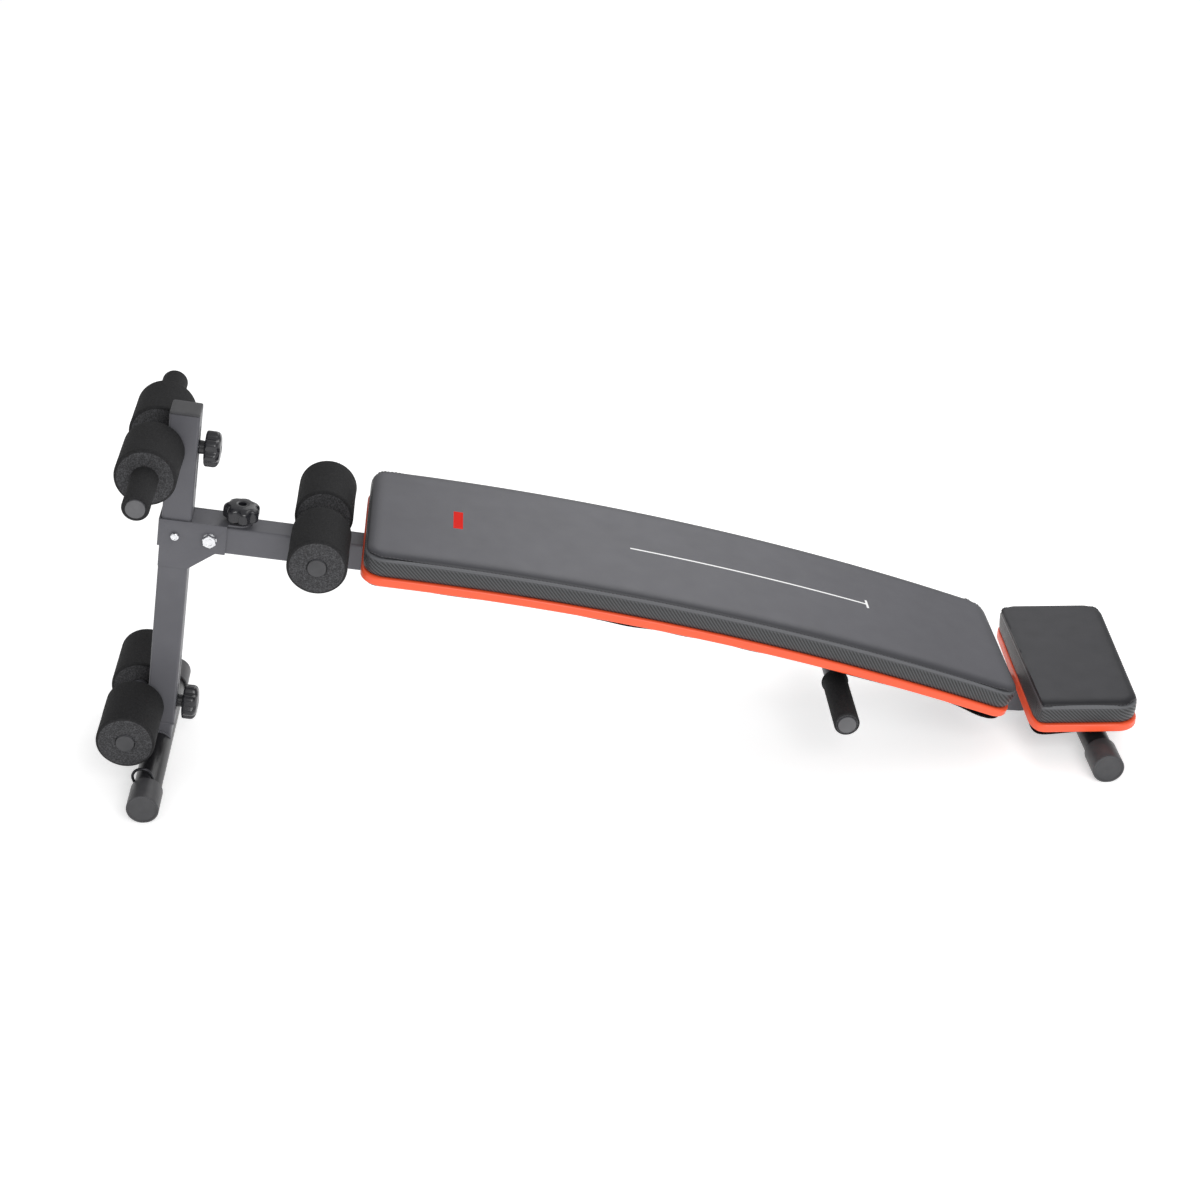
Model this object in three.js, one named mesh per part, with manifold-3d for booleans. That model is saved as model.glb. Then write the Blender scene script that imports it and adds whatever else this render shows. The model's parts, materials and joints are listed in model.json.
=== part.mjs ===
// Decline sit-up bench with a folding front post, foot, knee and hand bars, and an arched pad.
// Millimetres. +X runs along the bench from the foot bars to the head pad, +Y across it, +Z up.
// The origin is on the floor, under the middle of the bench.
import * as THREE from "three";
import { mergeVertices } from "three/addons/utils/BufferGeometryUtils.js";
import Module from "manifold-3d";

const wasm = await Module();
wasm.setup();

// ---------------------------------------------------------------- driving dimensions
const FOOT_SPACING = 1331; // front foot tube to rear foot tube
const LEAN = THREE.MathUtils.degToRad(10.7); // the post leans back, and the rail leaves it square
const RAIL_HEIGHT = 341.7; // along the post, foot tube centre to rail centre
const FRAME_TUBE = 40; // square post and rail
const FRAME_WALL = 2;
const FRAME_CORNER = 3.5;

const FOOT_WIDTH = 362; // over the caps
const FOOT_TUBE_OD = 38;
const FOOT_WALL = 2;
const FOOT_CAP_OD = 44.4;
const FOOT_CAP_LENGTH = 45;
const FOOT_CAP_END = 3;
const FOOT_SOLE = 0.6; // depth of the flat that stops a cap from rolling

const BAR_OD = 25; // foot, knee and hand bars
const BAR_WALL = 1.5;
const ROLLER_OD = 80.4;
const ROLLER_EDGE = 7;
const ROLLER_FROM_FRAME = 2; // side of the post or rail to the inner end of a roller
const UPPER_ROLLER_LENGTH = 89;
const LOWER_ROLLER_LENGTH = 99;
const GRIP_WALL = 5.2; // foam round a bar
const GRIP_EDGE = 3;
const UPPER_GRIP_LENGTH = 84;
const REAR_GRIP_LENGTH = 112;
const GRIP_FLANGE_RISE = 1.3; // over the grip
const GRIP_FLANGE_THICKNESS = 4;
const REAR_HANDLE_WIDTH = 342;

const UPPER_BAR_ABOVE_RAIL = 126.3; // along the post
const LOWER_BAR_ABOVE_FOOT = 64.8; // along the post
const POST_ABOVE_UPPER_BAR = 55;
const UPPER_BAR_DROP = 58; // travel of each bar from where it is clamped
const UPPER_BAR_RISE = 25;
const LOWER_BAR_DROP = 9;
const LOWER_BAR_RISE = 70;
const KNEE_BAR_FROM_HINGE = 148; // along the rail
const REAR_HANDLE_FROM_HINGE = 893; // along the rail

const RAIL_STRAIGHT = 258; // hinge to the start of the arch
const RAIL_TAIL = 88.5; // level end of the rail, bend to rear foot tube
const RAIL_TAIL_CENTRE = 36.7; // height of the level end's centre
const RAIL_BEND_RADIUS = 60;
const RAIL_OVERHANG = 13; // past the rear foot tube's centre

const HINGE_BEHIND_POST = 26.2; // post's rear face to the fold hinge
const HINGE_BOLT_D = 10;
const HINGE_BOLT_FLATS = 17;
const HINGE_HEAD_HEIGHT = 6.5;
const HINGE_NUT_HEIGHT = 9.5;
const HINGE_BOLT_TAIL = 12; // past the far cheek
const HINGE_BUSH_OD = 15;
const CHEEK_THICKNESS = 2.7;
const CHEEK_BELOW_RAIL = 28.5; // gusset below the rail, along the post
const CHEEK_PAST_HINGE = 22;
const GUSSET_PAST_HINGE = 9; // where its slope meets the rail's underside
const FLANGE_BELOW_RAIL_CENTRE = 17;
const WEB_THICKNESS = 3; // joins the cheeks over the rail
const TONGUE_WIDTH = 32; // of the web's end, under the locking knob
const LOCK_FROM_HINGE = 38; // fold hinge to the locking knob
const LOCK_REACH = 4; // of the locking stud into the rail
const LOCK_SLOT = 3; // extra length of the rail's slot for the stud
const BRACKET_BOLT_D = 6;
const BRACKET_BOLT_FLATS = 10;
const BRACKET_HEAD_HEIGHT = 4;
const BRACKET_NUT_HEIGHT = 6;
const BRACKET_BOLT_TAIL = 8; // past the far cheek

const KNOB_OD = 50;
const KNOB_LOBES = 7;
const KNOB_HEIGHT = 22;
const KNOB_HUB_OD = 19;
const CLAMP_HUB_HEIGHT = 7.5; // under a clamp knob's head
const LOCK_HUB_HEIGHT = 4.5; // under the locking knob's head
const LOCK_RECESS_D = 11; // blind hole in the top of the locking knob
const LOCK_RECESS_DEPTH = 10;
const CLAMP_BOLT_D = 10;
const SADDLE_THICKNESS = 2.9; // between a bar and the post, at its thinnest
const SADDLE_LIPS = 6; // how far a saddle reaches round its bar
const SADDLE_WIDTH = 26;
const SADDLE_HEIGHT = 22;

const STUB_SIDE = 34; // square stub that joins the foot tube to the post
const STUB_HEIGHT = 35; // foot tube's centre to the top of the stub
const BASE_PLATE_THICKNESS = 3;
const BASE_PLATE_OVER_POST = 1; // at each side
const CAP_FLANGE = 3; // of the post's and the rail's end caps

const PAD_WIDTH = 255;
const PAD_CORNER = 28;
const BOARD_THICKNESS = 12;
const BOARD_INSET = 3; // of a board from its cushion's edge
const CUSHION_THICKNESS = 35;
const MAIN_PAD_FROM_HINGE = 207; // along the rail
const MAIN_PAD_BEFORE_BEND = 33; // along the rail, end of the pad to the bend
const HEAD_PAD_LENGTH = 155;
const HEAD_PAD_WIDTH = 278;
const HEAD_PAD_PAST_FOOT = 55; // rear foot tube's centre to the end of the head pad, on the rail
const HEAD_PAD_SKEW = THREE.MathUtils.degToRad(3); // it is fastened slightly askew, near end forward
const PAD_BRACKET_LENGTH = 34; // along the rail
const PAD_BRACKET_THICKNESS = 3;
const PAD_SCREW_SPREAD = 46; // rail centre to a pad screw
const PAD_SCREW_D = 6;
const PAD_BRACKET_WING = 14; // past a screw
const FRONT_BRACKET_IN_PAD = 130; // from the main pad's front end
const REAR_BRACKET_IN_PAD = 150; // from the main pad's rear end
const HEAD_BRACKET_FORWARD = 4; // of the middle of the rail's level end

const EYE_OD = 30;
const EYE_WIRE = 4;
const EYE_FROM_CAP = 5; // wire's centre to the cap, along the foot tube
const EYE_TILT = THREE.MathUtils.degToRad(27); // forward of the post
const EYE_LEG = 10; // straight wire under the ring, before it is cut to the tube
const EYE_LIFT = 1.5; // ring's centre over the foot tube

// ---------------------------------------------------------------- clearances
const GAP = 0.3; // between touching pieces
const RUN = 0.6; // between a turning piece and what it turns on
const SLIDE = 0.5; // between a clamp bolt and its slot

// ---------------------------------------------------------------- derived places
const ROUND = 16; // sides of a round piece
const SMALL_ROUND = 14; // and of a bolt, a bore or a hub
const HALF_TUBE = FRAME_TUBE / 2;
const ROLLER_START = HALF_TUBE + ROLLER_FROM_FRAME;
const BAR_R = BAR_OD / 2;
const GRIP_R = BAR_R + GRIP_WALL;
const FOOT_CENTRE = FOOT_CAP_OD / 2 - FOOT_SOLE;
const BAR_FROM_POST = HALF_TUBE + SADDLE_THICKNESS + GAP + BAR_R; // post centre to a foot bar
const UPPER_BAR_HEIGHT = RAIL_HEIGHT + UPPER_BAR_ABOVE_RAIL;
const POST_LENGTH = UPPER_BAR_HEIGHT + POST_ABOVE_UPPER_BAR;
const LOWER_BAR_WIDTH = 2 * (ROLLER_START + LOWER_ROLLER_LENGTH);
const UPPER_BAR_WIDTH = 2 * (ROLLER_START + UPPER_ROLLER_LENGTH + RUN + UPPER_GRIP_LENGTH + GAP);
const PLUG_HEAD = 2.6;
const PLUG_DEPTH = 14;
const HINGE_FROM_POST = HALF_TUBE + HINGE_BEHIND_POST;
const POST_FOOT = STUB_HEIGHT + BASE_PLATE_THICKNESS;

const across = new THREE.Vector3(0, 1, 0);
const hinge = new THREE.Vector3(HINGE_FROM_POST, 0, RAIL_HEIGHT)
  .applyAxisAngle(across, LEAN)
  .add(new THREE.Vector3(0, 0, FOOT_CENTRE));

// ---------------------------------------------------------------- colours
const finish = (color, roughness, metalness = 0) =>
  new THREE.MeshStandardMaterial({ color, roughness, metalness });
const powderCoat = finish(0x55565b, 0.5, 0.3);
const blackPlastic = finish(0x1d1d1f, 0.35);
const greyPlastic = finish(0x58585a, 0.55);
const foam = finish(0x2c2c2d, 0.9);
const zincSteel = finish(0xc4c6ca, 0.3, 1);
const darkSteel = finish(0x2a2b2d, 0.4, 0.8);
const vinyl = finish(0x505156, 0.5);
const plywood = finish(0x8a6b48, 0.8);

// ---------------------------------------------------------------- solids
/** A closed geometry as a manifold solid. */
function solid(geometry) {
  const bare = geometry.clone();
  bare.deleteAttribute("normal");
  bare.deleteAttribute("uv");
  const merged = mergeVertices(bare, 1e-4);
  const vertProperties = new Float32Array(merged.attributes.position.array);
  const triVerts = new Uint32Array(merged.index.array);
  return new wasm.Manifold(new wasm.Mesh({ numProp: 3, vertProperties, triVerts }));
}

/** A manifold solid as a geometry. */
function surface(manifold) {
  const mesh = manifold.getMesh();
  const geometry = new THREE.BufferGeometry();
  geometry.setAttribute("position", new THREE.BufferAttribute(mesh.vertProperties, 3));
  geometry.setIndex(new THREE.BufferAttribute(mesh.triVerts, 1));
  return geometry;
}

const cut = (body, ...tools) => surface(tools.reduce((rest, tool) => rest.subtract(solid(tool)), solid(body)));
const join = (body, ...others) => surface(others.reduce((sum, other) => sum.add(solid(other)), solid(body)));
const overlap = (body, other) => surface(solid(body).intersect(solid(other)));

const block = (x, y, z) => new THREE.BoxGeometry(x, y, z);
const rod = (radius, length, sides = ROUND) => new THREE.CylinderGeometry(radius, radius, length, sides);
const rodAlongX = (radius, length, sides) => rod(radius, length, sides).rotateZ(-Math.PI / 2);
const rodAlongZ = (radius, length, sides) => rod(radius, length, sides).rotateX(Math.PI / 2);

/** A turned piece about Y: [radius, y] points that go round the section anticlockwise. */
const turned = (points, sides = ROUND) =>
  new THREE.LatheGeometry(points.map(([radius, y]) => new THREE.Vector2(radius, y)), sides);

/** A round tube along Y, centred on the origin. */
function pipe(outer, inner, length, sides = ROUND) {
  const half = length / 2;
  return turned([[inner, -half], [outer, -half], [outer, half], [inner, half], [inner, -half]], sides);
}

/** A rectangle with round corners, centred on the origin. */
function roundedRectangle(width, height, radius, steps = 2) {
  const shape = new THREE.Shape();
  const corners = [[1, 1, 0], [-1, 1, 1], [-1, -1, 2], [1, -1, 3]];
  for (const [sideX, sideY, quarter] of corners) {
    for (let step = 0; step <= steps; step++) {
      const angle = (quarter + step / steps) * Math.PI / 2;
      const x = sideX * (width / 2 - radius) + radius * Math.cos(angle);
      const y = sideY * (height / 2 - radius) + radius * Math.sin(angle);
      if (shape.curves.length || shape.currentPoint.lengthSq()) shape.lineTo(x, y);
      else shape.moveTo(x, y);
    }
  }
  shape.closePath();
  return shape;
}

/** A flat shape drawn in X and Z, made thick along Y and centred there. */
const plate = (shape, thickness) =>
  new THREE.ExtrudeGeometry(shape, { depth: thickness, bevelEnabled: false })
    .rotateX(Math.PI / 2)
    .translate(0, thickness / 2, 0);

const outline = (points) => new THREE.Shape(points.map(([x, y]) => new THREE.Vector2(x, y)));

/** A hexagonal prism along Y with its flats `size` apart. */
const hexagon = (size, length) => rod(size / Math.sqrt(3), length, 6);

// ---------------------------------------------------------------- scene graph
const bench = new THREE.Group();
const stand = new THREE.Group(); // the post's own frame: X square to it, Z along it
stand.position.z = FOOT_CENTRE;
stand.rotation.y = LEAN;
bench.add(stand);

function add(parent, name, geometry, material, x = 0, y = 0, z = 0) {
  const mesh = new THREE.Mesh(geometry, material);
  mesh.name = name;
  mesh.position.set(x, y, z);
  parent.add(mesh);
  return mesh;
}

const SIDES = [["near", -1], ["far", 1]];

// ---------------------------------------------------------------- the rail's line
/** Angle below level at which the arch meets the bend, and the arch's radius. */
function archBetween(run, drop) {
  let [low, high] = [LEAN + 1e-3, Math.PI / 3];
  const radius = (angle) =>
    (run - RAIL_BEND_RADIUS * Math.sin(angle)) / (Math.sin(angle) - Math.sin(LEAN));
  const dropOf = (angle) =>
    radius(angle) * (Math.cos(LEAN) - Math.cos(angle)) + RAIL_BEND_RADIUS * (1 - Math.cos(angle));
  for (let step = 0; step < 60; step++) {
    const middle = (low + high) / 2;
    if (dropOf(middle) < drop) low = middle;
    else high = middle;
  }
  return { angle: low, radius: radius(low) };
}

const archStart = { x: hinge.x + RAIL_STRAIGHT * Math.cos(LEAN), z: hinge.z - RAIL_STRAIGHT * Math.sin(LEAN) };
const arch = archBetween(FOOT_SPACING - RAIL_TAIL - archStart.x, archStart.z - RAIL_TAIL_CENTRE);
const ARCH_END = RAIL_STRAIGHT + arch.radius * (arch.angle - LEAN);
const BEND_END = ARCH_END + RAIL_BEND_RADIUS * arch.angle;
const RAIL_END = BEND_END + RAIL_TAIL + RAIL_OVERHANG;

/** The rail's centre line, `along` from the hinge, lifted by `height` square to the line. */
function onRail(along, height = 0) {
  const from = (x, z, slope, radius) => ({
    x: x + (radius + height) * Math.sin(slope),
    z: z + (radius + height) * Math.cos(slope),
    slope,
  });
  if (along <= RAIL_STRAIGHT) {
    return from(hinge.x + along * Math.cos(LEAN), hinge.z - along * Math.sin(LEAN), LEAN, 0);
  }
  const centreX = archStart.x - arch.radius * Math.sin(LEAN);
  const centreZ = archStart.z - arch.radius * Math.cos(LEAN);
  if (along <= ARCH_END) {
    return from(centreX, centreZ, LEAN + (along - RAIL_STRAIGHT) / arch.radius, arch.radius);
  }
  const reach = arch.radius + RAIL_BEND_RADIUS;
  const bendX = centreX + reach * Math.sin(arch.angle);
  const bendZ = centreZ + reach * Math.cos(arch.angle);
  if (along <= BEND_END) {
    return from(bendX, bendZ, arch.angle - (along - ARCH_END) / RAIL_BEND_RADIUS, -RAIL_BEND_RADIUS);
  }
  return from(bendX + along - BEND_END, bendZ, 0, -RAIL_BEND_RADIUS);
}

/** Places along the rail from `start` to `end`, close enough together for its curves. */
function stations(start, end) {
  const places = [start];
  for (let along = RAIL_STRAIGHT; along < ARCH_END; along += (ARCH_END - RAIL_STRAIGHT) / 14) {
    places.push(along);
  }
  for (let step = 0; step <= 4; step++) places.push(ARCH_END + step * (BEND_END - ARCH_END) / 4);
  places.push(end);
  return places.filter((along) => along >= start && along <= end).sort((a, b) => a - b);
}

/** A layer that follows the rail between two heights over its centre line, as a shape in X and Z. */
function layer(start, end, low, high) {
  const places = stations(start, end);
  const bottom = places.map((along) => onRail(along, low));
  const top = places.map((along) => onRail(along, high)).reverse();
  return outline([...bottom, ...top].map(({ x, z }) => [x, z]));
}

/** A group that stands on the rail's centre line with its X axis along the rail. */
function railFrame(along) {
  const { x, z, slope } = onRail(along);
  const frame = new THREE.Group();
  frame.position.set(x, 0, z);
  frame.rotation.y = slope;
  bench.add(frame);
  return frame;
}

// ---------------------------------------------------------------- feet
function addFoot(parent, prefix, notch = null) {
  const capReach = FOOT_WIDTH / 2;
  const tubeLength = FOOT_WIDTH - 2 * (FOOT_CAP_END + GAP);
  const tube = pipe(FOOT_TUBE_OD / 2, FOOT_TUBE_OD / 2 - FOOT_WALL, tubeLength);
  add(parent, `${prefix}_foot_tube`, notch ? cut(tube, notch) : tube, powderCoat);
  for (const [side, sign] of SIDES) {
    const outer = FOOT_CAP_OD / 2;
    const inner = FOOT_TUBE_OD / 2 + GAP;
    const shell = turned([
      [0, 0], [outer - 1.5, 0], [outer, 1.5], [outer, FOOT_CAP_LENGTH],
      [inner, FOOT_CAP_LENGTH], [inner, FOOT_CAP_END], [0, FOOT_CAP_END],
    ]);
    if (sign > 0) shell.rotateX(Math.PI);
    const sole = block(FOOT_CAP_OD, 2 * FOOT_CAP_LENGTH + 2, FOOT_CAP_OD);
    sole.translate(0, 0, -FOOT_CAP_OD / 2 - FOOT_CENTRE);
    const leanBack = parent === stand ? -LEAN : 0;
    sole.rotateY(leanBack);
    add(parent, `${prefix}_foot_cap_${side}`, cut(shell, sole), greyPlastic, 0, sign * capReach, 0);
  }
}

addFoot(stand, "front");
const rearFoot = new THREE.Group();
rearFoot.position.set(FOOT_SPACING, 0, FOOT_CENTRE);
bench.add(rearFoot);
addFoot(rearFoot, "rear");

// Wire eyes on the front foot tube, for elastic cords.
for (const [side, sign] of SIDES) {
  const ring = new THREE.Curve();
  const middle = (EYE_OD - EYE_WIRE) / 2;
  const arcLength = Math.PI * middle;
  const wireLength = arcLength + 2 * EYE_LEG;
  ring.getPoint = (t, target = new THREE.Vector3()) => {
    const run = t * wireLength - EYE_LEG;
    if (run < 0) return target.set(-middle, 0, run);
    if (run > arcLength) return target.set(middle, 0, arcLength - run);
    const angle = Math.PI - run / middle;
    return target.set(middle * Math.cos(angle), 0, middle * Math.sin(angle));
  };
  const section = new THREE.Shape().absarc(0, 0, EYE_WIRE / 2, 0, 2 * Math.PI);
  const wire = new THREE.ExtrudeGeometry(section, {
    steps: 14, extrudePath: ring, bevelEnabled: false, curveSegments: 4,
  });
  wire.translate(0, 0, FOOT_TUBE_OD / 2 + EYE_LIFT).rotateY(-EYE_TILT);
  const place = FOOT_WIDTH / 2 - FOOT_CAP_LENGTH - EYE_FROM_CAP;
  const tube = rod(FOOT_TUBE_OD / 2 + GAP, 3 * EYE_WIRE);
  add(stand, `cord_eye_${side}`, cut(wire, tube), darkSteel, 0, sign * place, 0);
}

// ---------------------------------------------------------------- post
const tubeSection = roundedRectangle(FRAME_TUBE, FRAME_TUBE, FRAME_CORNER);
tubeSection.holes.push(
  roundedRectangle(FRAME_TUBE - 2 * FRAME_WALL, FRAME_TUBE - 2 * FRAME_WALL, FRAME_CORNER - FRAME_WALL),
);
const postTube = new THREE.ExtrudeGeometry(tubeSection, {
  depth: POST_LENGTH - CAP_FLANGE - GAP - POST_FOOT, bevelEnabled: false,
}).translate(0, 0, POST_FOOT);

/** The post's foot: a plate under its end, on a square stub that is coped to the foot tube. */
function postFoot() {
  const plateSide = FRAME_TUBE + 2 * BASE_PLATE_OVER_POST;
  const joint = BASE_PLATE_THICKNESS / 2;
  const basePlate = block(FRAME_TUBE, plateSide, BASE_PLATE_THICKNESS).translate(0, 0, POST_FOOT - joint);
  const insert = block(FRAME_TUBE - FRAME_WALL, FRAME_TUBE - FRAME_WALL, joint).translate(0, 0, POST_FOOT);
  const hollowSide = STUB_SIDE - 2 * FRAME_WALL;
  const stub = cut(
    block(STUB_SIDE, STUB_SIDE, POST_FOOT - joint).translate(0, 0, (POST_FOOT - joint) / 2),
    block(hollowSide, hollowSide, 2 * STUB_HEIGHT),
  );
  return join(basePlate, insert, stub);
}

/** A slot through the post's front and rear walls, between two bolt heights. */
function boltSlot(low, high) {
  const radius = CLAMP_BOLT_D / 2 + SLIDE;
  const slot = new THREE.Shape();
  slot.absarc(0, high, radius, 0, Math.PI);
  slot.absarc(0, low, radius, Math.PI, 2 * Math.PI);
  return new THREE.ExtrudeGeometry(slot, { depth: 2 * FRAME_TUBE, bevelEnabled: false, curveSegments: 8 })
    .translate(0, 0, -FRAME_TUBE)
    .rotateX(Math.PI / 2)
    .rotateZ(Math.PI / 2);
}

add(stand, "front_post", cut(
  join(postTube, postFoot()),
  rod(FOOT_TUBE_OD / 2 + GAP, 2 * FRAME_TUBE),
  boltSlot(LOWER_BAR_ABOVE_FOOT - LOWER_BAR_DROP, LOWER_BAR_ABOVE_FOOT + LOWER_BAR_RISE),
  boltSlot(UPPER_BAR_HEIGHT - UPPER_BAR_DROP, UPPER_BAR_HEIGHT + UPPER_BAR_RISE),
  rod(BRACKET_BOLT_D / 2 + GAP, 2 * FRAME_TUBE, SMALL_ROUND).translate(0, 0, RAIL_HEIGHT),
), powderCoat);

const insertSide = FRAME_TUBE - 2 * FRAME_WALL - 2 * GAP;
const capTop = new THREE.ExtrudeGeometry(roundedRectangle(FRAME_TUBE, FRAME_TUBE, FRAME_CORNER), {
  depth: CAP_FLANGE, bevelEnabled: false,
});
const capInsert = new THREE.ExtrudeGeometry(roundedRectangle(insertSide, insertSide, FRAME_CORNER - FRAME_WALL), {
  depth: PLUG_DEPTH, bevelEnabled: false,
}).translate(0, 0, -PLUG_DEPTH + 0.5);
add(stand, "post_top_cap", join(capTop, capInsert), greyPlastic, 0, 0, POST_LENGTH - CAP_FLANGE);

// ---------------------------------------------------------------- fold bracket
// Drawn in the post's frame: two cheeks, a flange round the post's front, and a web over the rail
// that narrows to a tongue. The rail's front end is a half round about the hinge, and swings under it.
const cheekInner = HALF_TUBE + GAP;
const webLow = RAIL_HEIGHT + HALF_TUBE + GAP;
const cheekTop = webLow + WEB_THICKNESS;
const cheekRear = HINGE_FROM_POST + CHEEK_PAST_HINGE;
const cheekShape = outline([
  [-HALF_TUBE, RAIL_HEIGHT - HALF_TUBE - CHEEK_BELOW_RAIL],
  [HALF_TUBE, RAIL_HEIGHT - HALF_TUBE - CHEEK_BELOW_RAIL],
  [HINGE_FROM_POST + GUSSET_PAST_HINGE, RAIL_HEIGHT - HALF_TUBE],
  [cheekRear, RAIL_HEIGHT - HALF_TUBE],
  [cheekRear, cheekTop],
  [-HALF_TUBE, cheekTop],
]);
const cheeks = SIDES.map(([, sign]) =>
  plate(cheekShape, CHEEK_THICKNESS).translate(0, sign * (cheekInner + CHEEK_THICKNESS / 2), 0));
const flangeHeight = cheekTop - (RAIL_HEIGHT - FLANGE_BELOW_RAIL_CENTRE);
const frontFlange = block(CHEEK_THICKNESS, 2 * (cheekInner + CHEEK_THICKNESS), flangeHeight)
  .translate(-HALF_TUBE - GAP - CHEEK_THICKNESS / 2, 0, cheekTop - flangeHeight / 2);
const flangeReturns = SIDES.map(([, sign]) =>
  block(2 * CHEEK_THICKNESS, CHEEK_THICKNESS, flangeHeight).translate(
    -HALF_TUBE - GAP, sign * (cheekInner + CHEEK_THICKNESS / 2), cheekTop - flangeHeight / 2));
const webStart = HALF_TUBE + GAP;
const webMiddle = webLow + WEB_THICKNESS / 2;
const web = block(cheekRear - webStart, 2 * (cheekInner + CHEEK_THICKNESS), WEB_THICKNESS)
  .translate((cheekRear + webStart) / 2, 0, webMiddle);
const lockX = HINGE_FROM_POST + LOCK_FROM_HINGE;
const tongue = block(lockX - webStart, TONGUE_WIDTH, WEB_THICKNESS).translate((lockX + webStart) / 2, 0, webMiddle);
const tongueEnd = rodAlongZ(TONGUE_WIDTH / 2, WEB_THICKNESS, ROUND).translate(lockX, 0, webMiddle);
const bracketHoles = [
  rod(HINGE_BOLT_D / 2 + GAP, 3 * FRAME_TUBE, SMALL_ROUND).translate(HINGE_FROM_POST, 0, RAIL_HEIGHT),
  rod(BRACKET_BOLT_D / 2 + GAP, 3 * FRAME_TUBE, SMALL_ROUND).translate(0, 0, RAIL_HEIGHT),
  rodAlongZ(CLAMP_BOLT_D / 2 + RUN, 4 * WEB_THICKNESS, SMALL_ROUND).translate(lockX, 0, webLow),
];
add(stand, "fold_bracket", cut(
  join(frontFlange, ...flangeReturns, ...cheeks, web, tongue, tongueEnd),
  ...bracketHoles,
), powderCoat);

/** A hexagon-headed bolt along Y: its head is on the near side and its thread ends past the far side. */
function crossBolt(diameter, flats, headHeight, grip, tail) {
  const head = hexagon(flats, headHeight).translate(0, -grip / 2 - headHeight / 2, 0);
  const shank = rod(diameter / 2, grip + tail + 1, SMALL_ROUND).translate(0, (tail - 1) / 2, 0);
  return join(head, shank);
}

/** A hexagon nut on the far side of a cross bolt. */
const crossNut = (diameter, flats, height, grip) =>
  cut(hexagon(flats, height), rod(diameter / 2 + GAP, 2 * height, SMALL_ROUND))
    .translate(0, grip / 2 + height / 2, 0);

const bracketWidth = 2 * (cheekInner + CHEEK_THICKNESS + GAP);
const hingeBolt = crossBolt(HINGE_BOLT_D, HINGE_BOLT_FLATS, HINGE_HEAD_HEIGHT, bracketWidth, HINGE_BOLT_TAIL);
const hingeNut = crossNut(HINGE_BOLT_D, HINGE_BOLT_FLATS, HINGE_NUT_HEIGHT, bracketWidth);
const bracketBolt =
  crossBolt(BRACKET_BOLT_D, BRACKET_BOLT_FLATS, BRACKET_HEAD_HEIGHT, bracketWidth, BRACKET_BOLT_TAIL);
const bracketNut = crossNut(BRACKET_BOLT_D, BRACKET_BOLT_FLATS, BRACKET_NUT_HEIGHT, bracketWidth);
add(stand, "hinge_bolt", hingeBolt, zincSteel, HINGE_FROM_POST, 0, RAIL_HEIGHT);
add(stand, "hinge_nut", hingeNut, zincSteel, HINGE_FROM_POST, 0, RAIL_HEIGHT);
add(stand, "bracket_bolt", bracketBolt, zincSteel, 0, 0, RAIL_HEIGHT);
add(stand, "bracket_nut", bracketNut, zincSteel, 0, 0, RAIL_HEIGHT);

// ---------------------------------------------------------------- star knobs
/** A lobed knob about Z with its hub's foot at z = 0, less its bore. */
function starKnob(hubHeight, bore) {
  const rim = [];
  const steps = KNOB_LOBES * 4;
  const valley = 3.2;
  for (let step = 0; step < steps; step++) {
    const angle = (step / steps) * 2 * Math.PI;
    const radius = KNOB_OD / 2 - valley * (1 - Math.cos(KNOB_LOBES * angle)) / 2;
    rim.push([radius * Math.cos(angle), radius * Math.sin(angle)]);
  }
  const crown = 4;
  const head = new THREE.ExtrudeGeometry(outline(rim), {
    depth: KNOB_HEIGHT - crown, bevelEnabled: true, bevelThickness: crown, bevelSize: 5, bevelOffset: -5,
    bevelSegments: 1,
  }).translate(0, 0, hubHeight);
  const below = block(2 * KNOB_OD, 2 * KNOB_OD, KNOB_OD).translate(0, 0, hubHeight - KNOB_OD / 2);
  const hub = rodAlongZ(KNOB_HUB_OD / 2, hubHeight + 2, ROUND).translate(0, 0, hubHeight / 2 + 1);
  return cut(join(cut(head, below), hub), bore);
}

const through = rodAlongZ(CLAMP_BOLT_D / 2 + RUN, 4 * KNOB_HEIGHT, SMALL_ROUND);
const lockStud = rodAlongZ(CLAMP_BOLT_D / 2, WEB_THICKNESS + LOCK_REACH + 2 * GAP + 2, SMALL_ROUND)
  .translate(0, 0, -(WEB_THICKNESS + LOCK_REACH + 2 * GAP) / 2 + 1);
const topRecess = rodAlongZ(LOCK_RECESS_D / 2, 2 * LOCK_RECESS_DEPTH, ROUND)
  .translate(0, 0, LOCK_HUB_HEIGHT + KNOB_HEIGHT);
add(stand, "fold_knob", join(starKnob(LOCK_HUB_HEIGHT, topRecess), lockStud), blackPlastic,
  lockX, 0, webLow + WEB_THICKNESS + GAP);

// ---------------------------------------------------------------- bars with their ends
/** The plugs in the two ends of a bar along Y. */
function addPlugs(parent, prefix, width, x, z) {
  const head = BAR_R;
  const body = BAR_R - BAR_WALL - GAP;
  for (const [side, sign] of SIDES) {
    const plug = turned([
      [0, 0], [head - 1, 0], [head, 1], [head, PLUG_HEAD], [body, PLUG_HEAD], [body, PLUG_DEPTH], [0, PLUG_DEPTH],
    ], ROUND);
    if (sign > 0) plug.rotateX(Math.PI);
    add(parent, `${prefix}_plug_${side}`, plug, greyPlastic, x, sign * (width / 2 + PLUG_HEAD + GAP), z);
  }
}

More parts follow.
